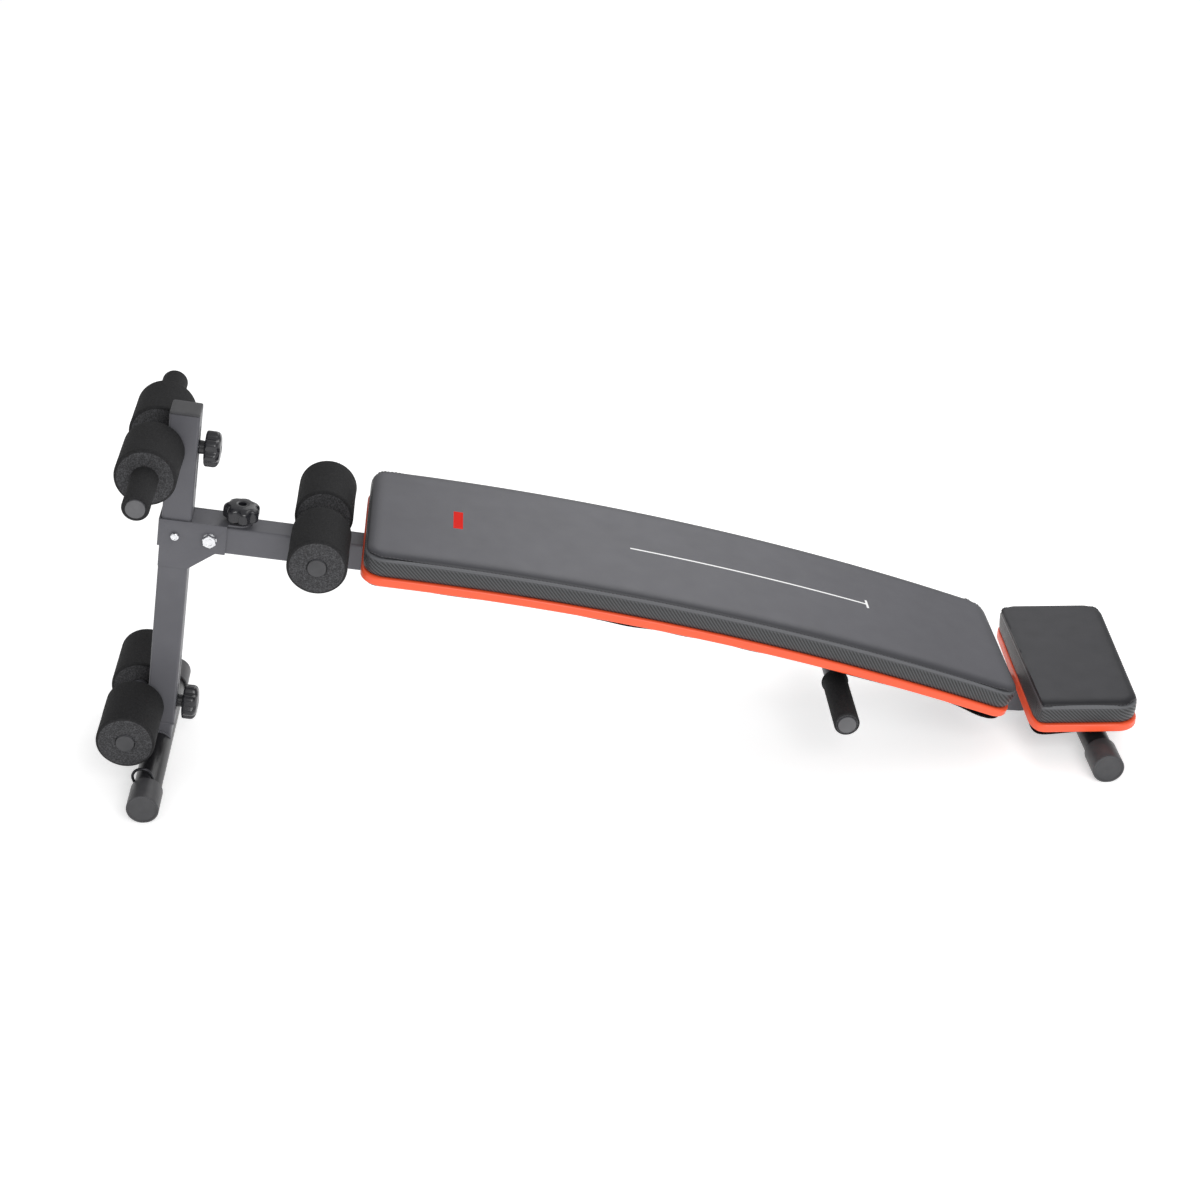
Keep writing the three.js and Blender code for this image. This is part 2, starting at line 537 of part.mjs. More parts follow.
/** A foam roller on each end of a bar along Y. */
function addRollers(parent, prefix, length, x, z) {
  const outer = ROLLER_OD / 2;
  const bore = BAR_R + RUN;
  const soft = ROLLER_EDGE * (1 - Math.SQRT1_2);
  const section = [
    [bore, 0], [outer - ROLLER_EDGE, 0], [outer - soft, soft], [outer, ROLLER_EDGE],
    [outer, length - ROLLER_EDGE], [outer - soft, length - soft], [outer - ROLLER_EDGE, length], [bore, length],
    [bore, 0],
  ];
  for (const [side, sign] of SIDES) {
    const y = sign > 0 ? ROLLER_START : -ROLLER_START - length;
    add(parent, `${prefix}_roller_${side}`, turned(section), foam, x, y, z);
  }
}

/** A foam grip on each end of a bar along Y, with a flange at its inner end when `flanged`. */
function addGrips(parent, prefix, length, start, x, z, flanged) {
  const outer = GRIP_R;
  const bore = BAR_R + GAP;
  const flange = GRIP_R + GRIP_FLANGE_RISE;
  const thickness = GRIP_FLANGE_THICKNESS;
  const inner = flanged
    ? [[flange, 0], [flange, thickness], [outer, thickness]]
    : [[outer, 0]];
  const section = [
    [bore, 0], ...inner, [outer, length - GRIP_EDGE], [outer - GRIP_EDGE, length], [bore, length], [bore, 0],
  ];
  for (const [side, sign] of SIDES) {
    const grip = turned(section, ROUND);
    if (sign < 0) grip.rotateX(Math.PI);
    add(parent, `${prefix}_grip_${side}`, grip, foam, x, sign * start, z);
  }
}

/** A foot bar clamped to the post's front, with its saddle, bolt and knob. */
function addFootBar(prefix, width, height) {
  const x = -BAR_FROM_POST;
  const boltHole = rodAlongX(CLAMP_BOLT_D / 2 + GAP, 4 * FRAME_TUBE, SMALL_ROUND);
  add(stand, `${prefix}_bar`, cut(pipe(BAR_R, BAR_R - BAR_WALL, width), boltHole), powderCoat, x, 0, height);

  const saddleDepth = SADDLE_THICKNESS + SADDLE_LIPS;
  const saddleFace = -HALF_TUBE - GAP - saddleDepth / 2;
  const saddle = cut(
    block(saddleDepth, SADDLE_WIDTH, SADDLE_HEIGHT).translate(saddleFace, 0, 0),
    rod(BAR_R + GAP, FRAME_TUBE).translate(x, 0, 0),
    boltHole,
  );
  add(stand, `${prefix}_saddle`, saddle, blackPlastic, 0, 0, height);

  const headStart = x - BAR_R - GAP;
  const threadEnd = HALF_TUBE + GAP + CLAMP_HUB_HEIGHT + KNOB_HEIGHT - 8;
  const radius = CLAMP_BOLT_D / 2;
  const bolt = turned([
    [0, headStart - 5], [6, headStart - 4], [10, headStart], [radius, headStart], [radius, threadEnd], [0, threadEnd],
  ], SMALL_ROUND).rotateZ(-Math.PI / 2);
  add(stand, `${prefix}_bolt`, bolt, zincSteel, 0, 0, height);

  const knob = starKnob(CLAMP_HUB_HEIGHT, through).rotateY(Math.PI / 2);
  add(stand, `${prefix}_knob`, knob, blackPlastic, HALF_TUBE + GAP, 0, height);
  addPlugs(stand, prefix, width, x, height);
}

addFootBar("lower", LOWER_BAR_WIDTH, LOWER_BAR_ABOVE_FOOT);
addRollers(stand, "lower", LOWER_ROLLER_LENGTH, -BAR_FROM_POST, LOWER_BAR_ABOVE_FOOT);
addFootBar("upper", UPPER_BAR_WIDTH, UPPER_BAR_HEIGHT);
addRollers(stand, "upper", UPPER_ROLLER_LENGTH, -BAR_FROM_POST, UPPER_BAR_HEIGHT);
addGrips(stand, "upper", UPPER_GRIP_LENGTH, ROLLER_START + UPPER_ROLLER_LENGTH + RUN,
  -BAR_FROM_POST, UPPER_BAR_HEIGHT, false);

// ---------------------------------------------------------------- rail
/** The rail's outline in X and Z: layers over its line, with a rounded front end about the hinge. */
function railOutline() {
  const places = stations(0, RAIL_END);
  const nose = [];
  for (let step = 1; step < ROUND / 2; step++) {
    const angle = Math.PI / 2 + (step / (ROUND / 2)) * Math.PI;
    const { x, z } = onRail(HALF_TUBE * Math.cos(angle), HALF_TUBE * Math.sin(angle));
    nose.push([x, z]);
  }
  const bottom = places.map((along) => onRail(along, -HALF_TUBE)).map(({ x, z }) => [x, z]);
  const top = places.map((along) => onRail(along, HALF_TUBE)).reverse().map(({ x, z }) => [x, z]);
  return outline([...nose, ...bottom, ...top]);
}

const inner = HALF_TUBE - FRAME_WALL;
const hollow = plate(layer(-FRAME_TUBE, RAIL_END + 10, -inner, inner), 2 * inner);
const hingeHole = rod(HINGE_BUSH_OD / 2 + GAP, 2 * FRAME_TUBE, SMALL_ROUND).translate(hinge.x, 0, hinge.z);
const rearFootHole = rod(FOOT_TUBE_OD / 2 + GAP, 2 * FRAME_TUBE).translate(FOOT_SPACING, 0, FOOT_CENTRE);
const lockSlot = join(
  rodAlongZ(CLAMP_BOLT_D / 2 + RUN, HALF_TUBE, SMALL_ROUND),
  rodAlongZ(CLAMP_BOLT_D / 2 + RUN, HALF_TUBE, SMALL_ROUND).translate(-LOCK_SLOT, 0, 0),
).translate(LOCK_FROM_HINGE, 0, HALF_TUBE).rotateY(LEAN).translate(hinge.x, 0, hinge.z);
add(bench, "main_rail", cut(plate(railOutline(), FRAME_TUBE), hollow, hingeHole, rearFootHole, lockSlot), powderCoat);

add(bench, "hinge_bush", pipe(HINGE_BUSH_OD / 2, HINGE_BOLT_D / 2 + GAP, FRAME_TUBE, SMALL_ROUND), zincSteel,
  hinge.x, 0, hinge.z);

const tailEnd = onRail(RAIL_END);
const endPlate = block(CAP_FLANGE, FRAME_TUBE, FRAME_TUBE).translate(CAP_FLANGE / 2 + GAP, 0, 0);
const endInsert = block(PLUG_DEPTH, insertSide, insertSide).translate(-PLUG_DEPTH / 2 + GAP + 0.5, 0, 0);
const footClear = rod(FOOT_TUBE_OD / 2 + GAP, 2 * FRAME_TUBE)
  .translate(FOOT_SPACING - tailEnd.x, 0, FOOT_CENTRE - tailEnd.z);
add(bench, "rail_end_cap", cut(join(endPlate, endInsert), footClear), greyPlastic, tailEnd.x, 0, tailEnd.z);

// ---------------------------------------------------------------- knee bar and rear handle
const kneeFrame = railFrame(KNEE_BAR_FROM_HINGE);
const barOverRail = HALF_TUBE + BAR_R + GAP;
add(kneeFrame, "knee_bar", pipe(BAR_R, BAR_R - BAR_WALL, LOWER_BAR_WIDTH), powderCoat, 0, 0, barOverRail);
addRollers(kneeFrame, "knee", LOWER_ROLLER_LENGTH, 0, barOverRail);
addPlugs(kneeFrame, "knee", LOWER_BAR_WIDTH, 0, barOverRail);

const handleFrame = railFrame(REAR_HANDLE_FROM_HINGE);
const handleTube = REAR_HANDLE_WIDTH - 2 * (PLUG_HEAD + GAP);
add(handleFrame, "handle_bar", pipe(BAR_R, BAR_R - BAR_WALL, handleTube), powderCoat, 0, 0, -barOverRail);
addGrips(handleFrame, "handle", REAR_GRIP_LENGTH, handleTube / 2 - REAR_GRIP_LENGTH, 0, -barOverRail, true);
addPlugs(handleFrame, "handle", handleTube, 0, -barOverRail);

// ---------------------------------------------------------------- pads
/** A pad layer along the rail, `inset` from the edge of a pad this wide, with round corners in plan. */
function padLayer(start, end, padWidth, low, high, inset, skew = 0) {
  const [from, to] = [start + inset, end - inset];
  const first = onRail(from, low).x;
  const last = onRail(to, high).x;
  const width = padWidth - 2 * inset;
  const slab = plate(layer(from, to, low, high), width);
  const outlineInPlan = roundedRectangle(last - first, width, PAD_CORNER - inset, 4);
  const plan = new THREE.ExtrudeGeometry(outlineInPlan, { depth: 2 * FOOT_SPACING, bevelEnabled: false })
    .translate((first + last) / 2, 0, -FOOT_SPACING);
  const middle = (first + last) / 2;
  return overlap(slab, plan).translate(-middle, 0, 0).rotateZ(-skew).translate(middle, 0, 0);
}

const boardLow = HALF_TUBE + GAP;
const boardHigh = boardLow + BOARD_THICKNESS;
const cushionLow = boardHigh + GAP;
const cushionHigh = cushionLow + CUSHION_THICKNESS;
const mainPadEnd = ARCH_END - MAIN_PAD_BEFORE_BEND;
const headPadEnd = BEND_END + RAIL_TAIL + HEAD_PAD_PAST_FOOT;
const headPadStart = headPadEnd - HEAD_PAD_LENGTH;

const PAD_STATIONS = [
  ["main_pad_front", MAIN_PAD_FROM_HINGE + FRONT_BRACKET_IN_PAD],
  ["main_pad_rear", mainPadEnd - REAR_BRACKET_IN_PAD],
  ["head_pad", BEND_END + RAIL_TAIL / 2 - HEAD_BRACKET_FORWARD],
];

/** Screw holes at every bracket, for a board that lies on the rail. */
function screwHoles() {
  return PAD_STATIONS.flatMap(([, along]) => SIDES.map(([, sign]) => {
    const { x, z, slope } = onRail(along, boardLow);
    return rodAlongZ(PAD_SCREW_D / 2 + GAP, BOARD_THICKNESS, SMALL_ROUND)
      .rotateY(slope)
      .translate(x, sign * PAD_SCREW_SPREAD, z);
  }));
}

const PADS = [
  ["main_pad", MAIN_PAD_FROM_HINGE, mainPadEnd, PAD_WIDTH, 0],
  ["head_pad", headPadStart, headPadEnd, HEAD_PAD_WIDTH, HEAD_PAD_SKEW],
];
for (const [name, start, end, width, skew] of PADS) {
  const board = padLayer(start, end, width, boardLow, boardHigh, BOARD_INSET, skew);
  const cushion = padLayer(start, end, width, cushionLow, cushionHigh, 0, skew);
  add(bench, `${name}_board`, cut(board, ...screwHoles()), plywood);
  add(bench, `${name}_cushion`, cushion, vinyl);
}

/** A strap bent round the underside of the rail, with wings that carry a board's screws. */
function padBracket() {
  const wall = PAD_BRACKET_THICKNESS;
  const reach = PAD_SCREW_SPREAD + PAD_BRACKET_WING;
  const side = HALF_TUBE + GAP;
  const height = HALF_TUBE;
  const section = outline([
    [-reach, height], [-reach, height - wall], [-side - wall, height - wall], [-side - wall, -side - wall],
    [side + wall, -side - wall], [side + wall, height - wall], [reach, height - wall], [reach, height],
    [side, height], [side, -side], [-side, -side], [-side, height],
  ]);
  const strap = plate(section, PAD_BRACKET_LENGTH).rotateZ(Math.PI / 2);
  const holes = SIDES.map(([, sign]) =>
    rodAlongZ(PAD_SCREW_D / 2 + GAP, FRAME_TUBE, SMALL_ROUND).translate(0, sign * PAD_SCREW_SPREAD, height));
  return cut(strap, ...holes);
}

/** A pan-headed screw from below: its head is under a bracket's wing, its thread in the board. */
function padScrew() {
  const wing = HALF_TUBE - PAD_BRACKET_THICKNESS - GAP;
  const headRadius = PAD_SCREW_D;
  return turned([
    [0, wing - 3], [headRadius - 2, wing - 3], [headRadius, wing - 1], [headRadius, wing],
    [PAD_SCREW_D / 2, wing], [PAD_SCREW_D / 2, wing + 9], [0, wing + 9],
  ], SMALL_ROUND).rotateX(Math.PI / 2);
}

for (const [name, along] of PAD_STATIONS) {
  const frame = railFrame(along);
  add(frame, `${name}_bracket`, padBracket(), powderCoat);
  for (const [side, sign] of SIDES) {
    add(frame, `${name}_screw_${side}`, padScrew(), zincSteel, 0, sign * PAD_SCREW_SPREAD, 0);
  }
}

// ---------------------------------------------------------------- origin under the middle
const lowerBarCentre = new THREE.Vector3(-BAR_FROM_POST, 0, LOWER_BAR_ABOVE_FOOT).applyAxisAngle(across, LEAN);
const frontEnd = lowerBarCentre.x - ROLLER_OD / 2;
const headPadMiddle = onRail((headPadStart + headPadEnd) / 2).x;
const rearReach = (HEAD_PAD_LENGTH / 2 - PAD_CORNER) * Math.cos(HEAD_PAD_SKEW)
  + (HEAD_PAD_WIDTH / 2 - PAD_CORNER) * Math.sin(HEAD_PAD_SKEW) + PAD_CORNER;
const rearEnd = headPadMiddle + rearReach;
bench.position.x = -(frontEnd + rearEnd) / 2;

export default bench;
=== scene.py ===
"""Decline sit-up bench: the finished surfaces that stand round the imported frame.

Every new surface is worked out as whole arrays: a profile turned about an axis, a rounded
rectangle drawn in step by step, or a section carried along a path. Places come from the frame.
Lengths are in metres, with +X from the foot bars to the head pad and +Z up.
"""

from __future__ import annotations

import json
import logging
import math
from dataclasses import dataclass, field
from enum import Enum
from typing import Callable, Iterable, Sequence

import bmesh
import bpy
import numpy as np
from mathutils import Matrix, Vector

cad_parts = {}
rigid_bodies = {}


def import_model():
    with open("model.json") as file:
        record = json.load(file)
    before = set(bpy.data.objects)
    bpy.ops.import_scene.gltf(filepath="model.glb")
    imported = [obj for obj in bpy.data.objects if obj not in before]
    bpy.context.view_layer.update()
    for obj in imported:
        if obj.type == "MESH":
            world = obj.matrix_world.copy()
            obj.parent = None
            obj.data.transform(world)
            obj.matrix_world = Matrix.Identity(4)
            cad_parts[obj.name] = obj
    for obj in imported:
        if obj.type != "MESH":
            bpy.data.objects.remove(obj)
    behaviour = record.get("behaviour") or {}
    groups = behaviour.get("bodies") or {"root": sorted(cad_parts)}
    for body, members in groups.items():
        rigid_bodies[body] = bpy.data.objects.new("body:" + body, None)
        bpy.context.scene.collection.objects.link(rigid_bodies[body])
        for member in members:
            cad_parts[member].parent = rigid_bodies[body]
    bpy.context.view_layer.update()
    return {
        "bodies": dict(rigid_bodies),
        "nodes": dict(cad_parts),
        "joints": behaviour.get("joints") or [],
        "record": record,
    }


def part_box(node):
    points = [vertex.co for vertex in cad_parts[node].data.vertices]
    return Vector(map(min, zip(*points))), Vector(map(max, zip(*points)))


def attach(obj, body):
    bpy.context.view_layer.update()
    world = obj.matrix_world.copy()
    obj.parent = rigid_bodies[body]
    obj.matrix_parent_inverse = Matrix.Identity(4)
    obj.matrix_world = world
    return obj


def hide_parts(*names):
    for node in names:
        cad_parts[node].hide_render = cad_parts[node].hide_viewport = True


LOG = logging.getLogger("bench")
MM = 0.001
SIDES = (("near", -1.0), ("far", 1.0))
TAU = 2.0 * math.pi
ACROSS = (0.0, 1.0, 0.0)
UPWARD = (0.0, 0.0, 1.0)
ROD_REACH = 0.05
NOTCH_RADIUS = 0.0193
CLEARANCE = 0.0003
LONG_PAD_START = 0.207
LONG_PAD_BEFORE_BEND = 0.033
HEAD_PAD_LENGTH = 0.155
HEAD_PAD_PAST_FOOT = 0.055

Array = np.ndarray
Colour = tuple[float, float, float, float]


# --------------------------------------------------------------------------- camera and stage
@dataclass(frozen=True)
class Viewpoint:
    """The camera: where it stands, which way it looks and its lens."""

    place: tuple[float, float, float] = (-0.1369, -2.4798, 1.6472)
    yaw: float = math.radians(2.59)
    pitch: float = math.radians(-29.91)
    roll: float = math.radians(-0.90)
    lens_mm: float = 61.26
    shift: float = -0.0017

    def build(self) -> None:
        """Makes the camera and gives it to the scene."""
        data = bpy.data.cameras.new("camera")
        data.sensor_width = 36.0
        data.lens = self.lens_mm
        data.shift_x = self.shift
        ahead = np.array([
            math.sin(self.yaw) * math.cos(self.pitch),
            math.cos(self.yaw) * math.cos(self.pitch),
            math.sin(self.pitch),
        ])
        level = np.array([math.cos(self.yaw), -math.sin(self.yaw), 0.0])
        upright = np.cross(level, ahead)
        right = level * math.cos(self.roll) + upright * math.sin(self.roll)
        up = upright * math.cos(self.roll) - level * math.sin(self.roll)
        camera = bpy.data.objects.new("camera", data)
        bpy.context.scene.collection.objects.link(camera)
        turn = Matrix([list(row) for row in np.column_stack([right, up, -ahead])])
        camera.matrix_world = Matrix.Translation(self.place) @ turn.to_4x4()
        bpy.context.scene.camera = camera


@dataclass(frozen=True)
class Studio:
    """A pale floor, a white surround and large soft lamps."""

    floor_side: float = 14.0
    floor_colour: str = "#FFFFFF"
    floor_glow: float = 0.45
    surround: float = 0.55
    lamps: tuple[tuple[str, tuple[float, float, float], float, float], ...] = (
        ("key_lamp", (0.7, -2.6, 1.9), 38.0, 1.6),
        ("pad_lamp", (0.5, 0.35, 1.35), 2.5, 0.7),
        ("back_lamp", (0.9, 2.6, 1.9), 17.0, 1.8),
    )

    def build(self) -> None:
        """Makes the floor, the surround and the lamps."""
        bpy.context.scene.view_settings.view_transform = "Standard"
        self._floor()
        world = bpy.data.worlds.new("surround")
        world.use_nodes = True
        backdrop = world.node_tree.nodes["Background"]
        backdrop.inputs["Color"].default_value = (1.0, 1.0, 1.0, 1.0)
        backdrop.inputs["Strength"].default_value = self.surround
        bpy.context.scene.world = world
        for lamp in self.lamps:
            self._lamp(*lamp)

    def _floor(self) -> None:
        """A matt sheet that glows a little, so that it stays white away from the lamps."""
        half = self.floor_side / 2.0
        corners = np.array([[-half, -half, 0], [half, -half, 0], [half, half, 0], [-half, half, 0]])
        mesh = bpy.data.meshes.new("floor")
        mesh.from_pydata(corners.tolist(), [], [(0, 1, 2, 3)])
        floor = bpy.data.objects.new("floor", mesh)
        bpy.context.scene.collection.objects.link(floor)
        material = bpy.data.materials.new("pale_floor")
        material.use_nodes = True
        shader = material.node_tree.nodes["Principled BSDF"]
        shader.inputs["Base Color"].default_value = linear(self.floor_colour)
        shader.inputs["Roughness"].default_value = 0.9
        shader.inputs["Emission Color"].default_value = (1.0, 1.0, 1.0, 1.0)
        shader.inputs["Emission Strength"].default_value = self.floor_glow
        mesh.materials.append(material)

    def _lamp(self, name: str, place: Sequence[float], watts: float, side: float) -> None:
        """A square lamp that faces the middle of the floor.

        Args:
            name: its name.
            place: where it hangs.
            watts: its power.
            side: its side.
        """
        data = bpy.data.lights.new(name, "AREA")
        data.energy = watts
        data.size = side
        lamp = bpy.data.objects.new(name, data)
        bpy.context.scene.collection.objects.link(lamp)
        position = np.array(place)
        away = position / np.linalg.norm(position)
        aside = np.cross([0.0, 0.0, 1.0], away)
        aside /= np.linalg.norm(aside)
        turn = Matrix([list(row) for row in np.column_stack([aside, np.cross(away, aside), away])])
        lamp.matrix_world = Matrix.Translation(place) @ turn.to_4x4()


# --------------------------------------------------------------------------- material nodes
def linear(code: str, alpha: float = 1.0) -> Colour:
    """Turns an sRGB hex colour into the linear values that a shader reads.

    Args:
        code: the colour, as #RRGGBB.
        alpha: its opacity.

    Returns:
        Linear red, green, blue and alpha.
    """
    srgb = np.array([int(code[k:k + 2], 16) for k in (1, 3, 5)]) / 255.0
    values = np.where(srgb <= 0.04045, srgb / 12.92, ((srgb + 0.055) / 1.055) ** 2.4)
    return (*values.tolist(), alpha)


def add_node(tree: bpy.types.NodeTree, kind: str, inputs: dict | None = None, **settings) -> bpy.types.Node:
    """Adds one node, sets it up and links it.

    Args:
        tree: the material's tree.
        kind: the node's type.
        inputs: socket name or number to a value, or to the output socket that feeds it.
        **settings: the node's own properties.

    Returns:
        The node.
    """
    node = tree.nodes.new(kind)
    for name, value in settings.items():
        setattr(node, name, value)
    for key, value in (inputs or {}).items():
        if isinstance(value, bpy.types.NodeSocket):
            tree.links.new(value, node.inputs[key])
        else:
            node.inputs[key].default_value = value
    return node


def per_size(size_mm: float) -> float:
    """The Scale that gives a texture features of this size, read in metres."""
    return 1.0 / (size_mm * MM)


@dataclass(frozen=True)
class Finish:
    """What every finish has: one colour, one gloss and a fine surface of its own."""

    name: str
    colour: str
    roughness: float
    metallic: float = 0.0
    coat: float = 0.0
    sheen: float = 0.0
    specular: float = 0.5

    def material(self) -> bpy.types.Material:
        """The finish as a material, made once.

        Returns:
            The material.
        """
        made = bpy.data.materials.get(self.name)
        if made:
            return made
        made = bpy.data.materials.new(self.name)
        made.use_nodes = True
        tree = made.node_tree
        shader = tree.nodes["Principled BSDF"]
        shader.inputs["Base Color"].default_value = linear(self.colour)
        shader.inputs["Roughness"].default_value = self.roughness
        shader.inputs["Metallic"].default_value = self.metallic
        shader.inputs["Coat Weight"].default_value = self.coat
        shader.inputs["Sheen Weight"].default_value = self.sheen
        shader.inputs["Specular IOR Level"].default_value = self.specular
        self.surface(tree, shader)
        return made

    def surface(self, tree: bpy.types.NodeTree, shader: bpy.types.Node) -> None:
        """Adds what makes this finish more than a flat colour."""

    def _spot(self, tree: bpy.types.NodeTree) -> bpy.types.NodeSocket:
        """Where a point is, in metres."""
        return add_node(tree, "ShaderNodeTexCoord").outputs["Object"]

    def _noise(self, tree: bpy.types.NodeTree, size_mm: float, detail: float = 2.0) -> bpy.types.NodeSocket:
        """Soft noise with features of a size."""
        inputs = {"Vector": self._spot(tree), "Scale": per_size(size_mm), "Detail": detail}
        return add_node(tree, "ShaderNodeTexNoise", inputs).outputs["Fac"]

    def _mottle(self, tree: bpy.types.NodeTree, shader: bpy.types.Node, factor: bpy.types.NodeSocket,
                dark: str, light: str) -> None:
        """Colour that goes from dark to light by a factor."""
        ramp = add_node(tree, "ShaderNodeMix", {0: factor, 6: linear(dark), 7: linear(light)}, data_type="RGBA")
        tree.links.new(ramp.outputs[2], shader.inputs["Base Color"])

    def _gloss(self, tree: bpy.types.NodeTree, shader: bpy.types.Node, factor: bpy.types.NodeSocket,
               spread: float) -> None:
        """Roughness that strays by a spread to each side."""
        ends = {"Value": factor, "To Min": self.roughness - spread, "To Max": self.roughness + spread}
        tree.links.new(add_node(tree, "ShaderNodeMapRange", ends).outputs["Result"], shader.inputs["Roughness"])

    def _relief(self, tree: bpy.types.NodeTree, shader: bpy.types.Node, height: bpy.types.NodeSocket,
                depth_mm: float, strength: float = 1.0) -> None:
        """Relief of a depth, drawn by a height."""
        inputs = {"Height": height, "Distance": depth_mm * MM, "Strength": strength}
        tree.links.new(add_node(tree, "ShaderNodeBump", inputs).outputs["Normal"], shader.inputs["Normal"])

    def _paint_seam_shading(self, tree: bpy.types.NodeTree, shader: bpy.types.Node, code: str) -> None:
        """Painted seam shading: another colour where the mesh's attribute says that the cover rolls into its seam, as
        painted shade on the leather and a painted highlight on the twill.

        Args:
            tree: its nodes.
            shader: its shader.
            code: the other colour.
        """
        flat = shader.inputs["Base Color"].links[0].from_socket
        fold = add_node(tree, "ShaderNodeAttribute", attribute_name=PAINTED_SEAM_SHADING).outputs["Fac"]
        blend = add_node(tree, "ShaderNodeMix", {0: fold, 6: flat, 7: linear(code)}, data_type="RGBA")
        tree.links.new(blend.outputs[2], shader.inputs["Base Color"])


@dataclass(frozen=True)
class PowderCoat(Finish):
    """Polyester powder coat on steel: satin, with an orange-peel skin a millimetre or so across."""

    peel_mm: float = 1.1

    def surface(self, tree: bpy.types.NodeTree, shader: bpy.types.Node) -> None:
        """Orange peel, and a colour that drifts a little over a hand's width.

        Args:
            tree: its nodes.
            shader: its shader.
        """
        self._mottle(tree, shader, self._noise(tree, 45.0), shade(self.colour, 0.93), shade(self.colour, 1.06))
        peel = self._noise(tree, self.peel_mm)
        self._gloss(tree, shader, peel, 0.06)
        self._relief(tree, shader, peel, 0.12, 0.6)


@dataclass(frozen=True)
class MouldedPlastic(Finish):
    """Injection-moulded plastic: an even colour with a fine spark-eroded texture from its mould."""

    grain_mm: float = 0.6  # finer on the real moulding, and drawn as coarse as it shows
    depth_mm: float = 0.05

    def surface(self, tree: bpy.types.NodeTree, shader: bpy.types.Node) -> None:
        """Mould texture and slight handling marks in the gloss.

        Args:
            tree: its nodes.
            shader: its shader.
        """
        self._mottle(tree, shader, self._noise(tree, 12.0), shade(self.colour, 0.9), shade(self.colour, 1.1))
        self._gloss(tree, shader, self._noise(tree, 6.0, 4.0), 0.07)
        self._relief(tree, shader, self._noise(tree, self.grain_mm), self.depth_mm, 0.7)


@dataclass(frozen=True)
class NitrileFoam(Finish):
    """Closed-cell nitrile foam: matt, with cells of about 1.5 mm that show more where it is cut."""

    cell_mm: float = 1.5
    depth_mm: float = 0.25
    cut: float = 0.0

    def surface(self, tree: bpy.types.NodeTree, shader: bpy.types.Node) -> None:
        """Rounded cells in relief, with pale cell walls on a cut face.

        Args:
            tree: its nodes.
            shader: its shader.
        """
        inputs = {"Vector": self._spot(tree), "Scale": per_size(self.cell_mm)}
        cells = add_node(tree, "ShaderNodeTexVoronoi", inputs, feature="F1").outputs["Distance"]
        wobble = self._noise(tree, 3.2, 3.0)
        blend = add_node(tree, "ShaderNodeMath", {0: cells, 1: wobble}, operation="MULTIPLY").outputs[0]
        top = shade(self.colour, 1.15 + self.cut)
        widen = {"Value": blend, "From Min": 0.05, "From Max": 0.42}
        factor = add_node(tree, "ShaderNodeMapRange", widen).outputs["Result"]
        self._mottle(tree, shader, factor, shade(self.colour, 0.82 - 0.2 * self.cut), top)
        self._relief(tree, shader, cells, -self.depth_mm, 0.9)


@dataclass(frozen=True)
class SoftLeather(Finish):
    """Polyurethane leather: satin, with a fine pebble grain, and painted darker, as shade, where its edge rolls down
    into a seam.
    """

    grain_mm: float = 1.0  # a real pebble is about half this, too fine to show
    # share of the colour at full painted seam shade
    painted_seam_shading: float = 0.54

    def surface(self, tree: bpy.types.NodeTree, shader: bpy.types.Node) -> None:
        """Pebble grain, and gloss that is uneven where the cover has been handled.

        Args:
            tree: its nodes.
            shader: its shader.
        """
        spot = self._spot(tree)
        cells = {"Vector": spot, "Scale": per_size(self.grain_mm), "Smoothness": 0.6}
        grain = add_node(tree, "ShaderNodeTexVoronoi", cells, feature="SMOOTH_F1").outputs["Distance"]
        self._mottle(tree, shader, self._noise(tree, 60.0, 3.0), shade(self.colour, 0.94), shade(self.colour, 1.05))
        # painted shade: the leather darkens where it rolls away from the light into the seam
        self._paint_seam_shading(tree, shader, shade(self.colour, self.painted_seam_shading))
        self._gloss(tree, shader, self._noise(tree, 25.0, 3.0), 0.05)
        self._relief(tree, shader, grain, -0.12, 0.5)


@dataclass(frozen=True)
class PrintedLeather(SoftLeather):
    """The long pad's leather, with a plain red bar and a white line printed on it.

    The prints are boxes in the pad's own map, which is metres along the rail and across the bench.
    """

    prints: tuple[tuple[str, float, float, float, float], ...] = ()
    ink_specular: float = 0.04

    def surface(self, tree: bpy.types.NodeTree, shader: bpy.types.Node) -> None:
        """The grain, and then each printed box over the colour, in matt ink.

        Args:
            tree: its nodes.
            shader: its shader.
        """
        super().surface(tree, shader)
        uv = add_node(tree, "ShaderNodeUVMap", uv_map=COVER_MAP).outputs["UV"]
        apart = add_node(tree, "ShaderNodeSeparateXYZ", {"Vector": uv}).outputs
        colour = shader.inputs["Base Color"].links[0].from_socket
        gloss = self.specular
        for ink, left, right, low, high in self.prints:
            mask = None
            for value, edge, way in (
                (apart["X"], left, "GREATER_THAN"), (apart["X"], right, "LESS_THAN"),
                (apart["Y"], low, "GREATER_THAN"), (apart["Y"], high, "LESS_THAN"),
            ):
                inside = add_node(tree, "ShaderNodeMath", {0: value, 1: edge}, operation=way).outputs[0]
                if mask is None:
                    mask = inside
                else:
                    mask = add_node(tree, "ShaderNodeMath", {0: mask, 1: inside}, operation="MULTIPLY").outputs[0]
            inputs = {0: mask, 6: colour, 7: linear(ink)}
            colour = add_node(tree, "ShaderNodeMix", inputs, data_type="RGBA").outputs[2]
            dulled = {0: mask, 2: gloss, 3: self.ink_specular}
            gloss = add_node(tree, "ShaderNodeMix", dulled, data_type="FLOAT").outputs[0]
        tree.links.new(colour, shader.inputs["Base Color"])
        tree.links.new(gloss, shader.inputs["Specular IOR Level"])


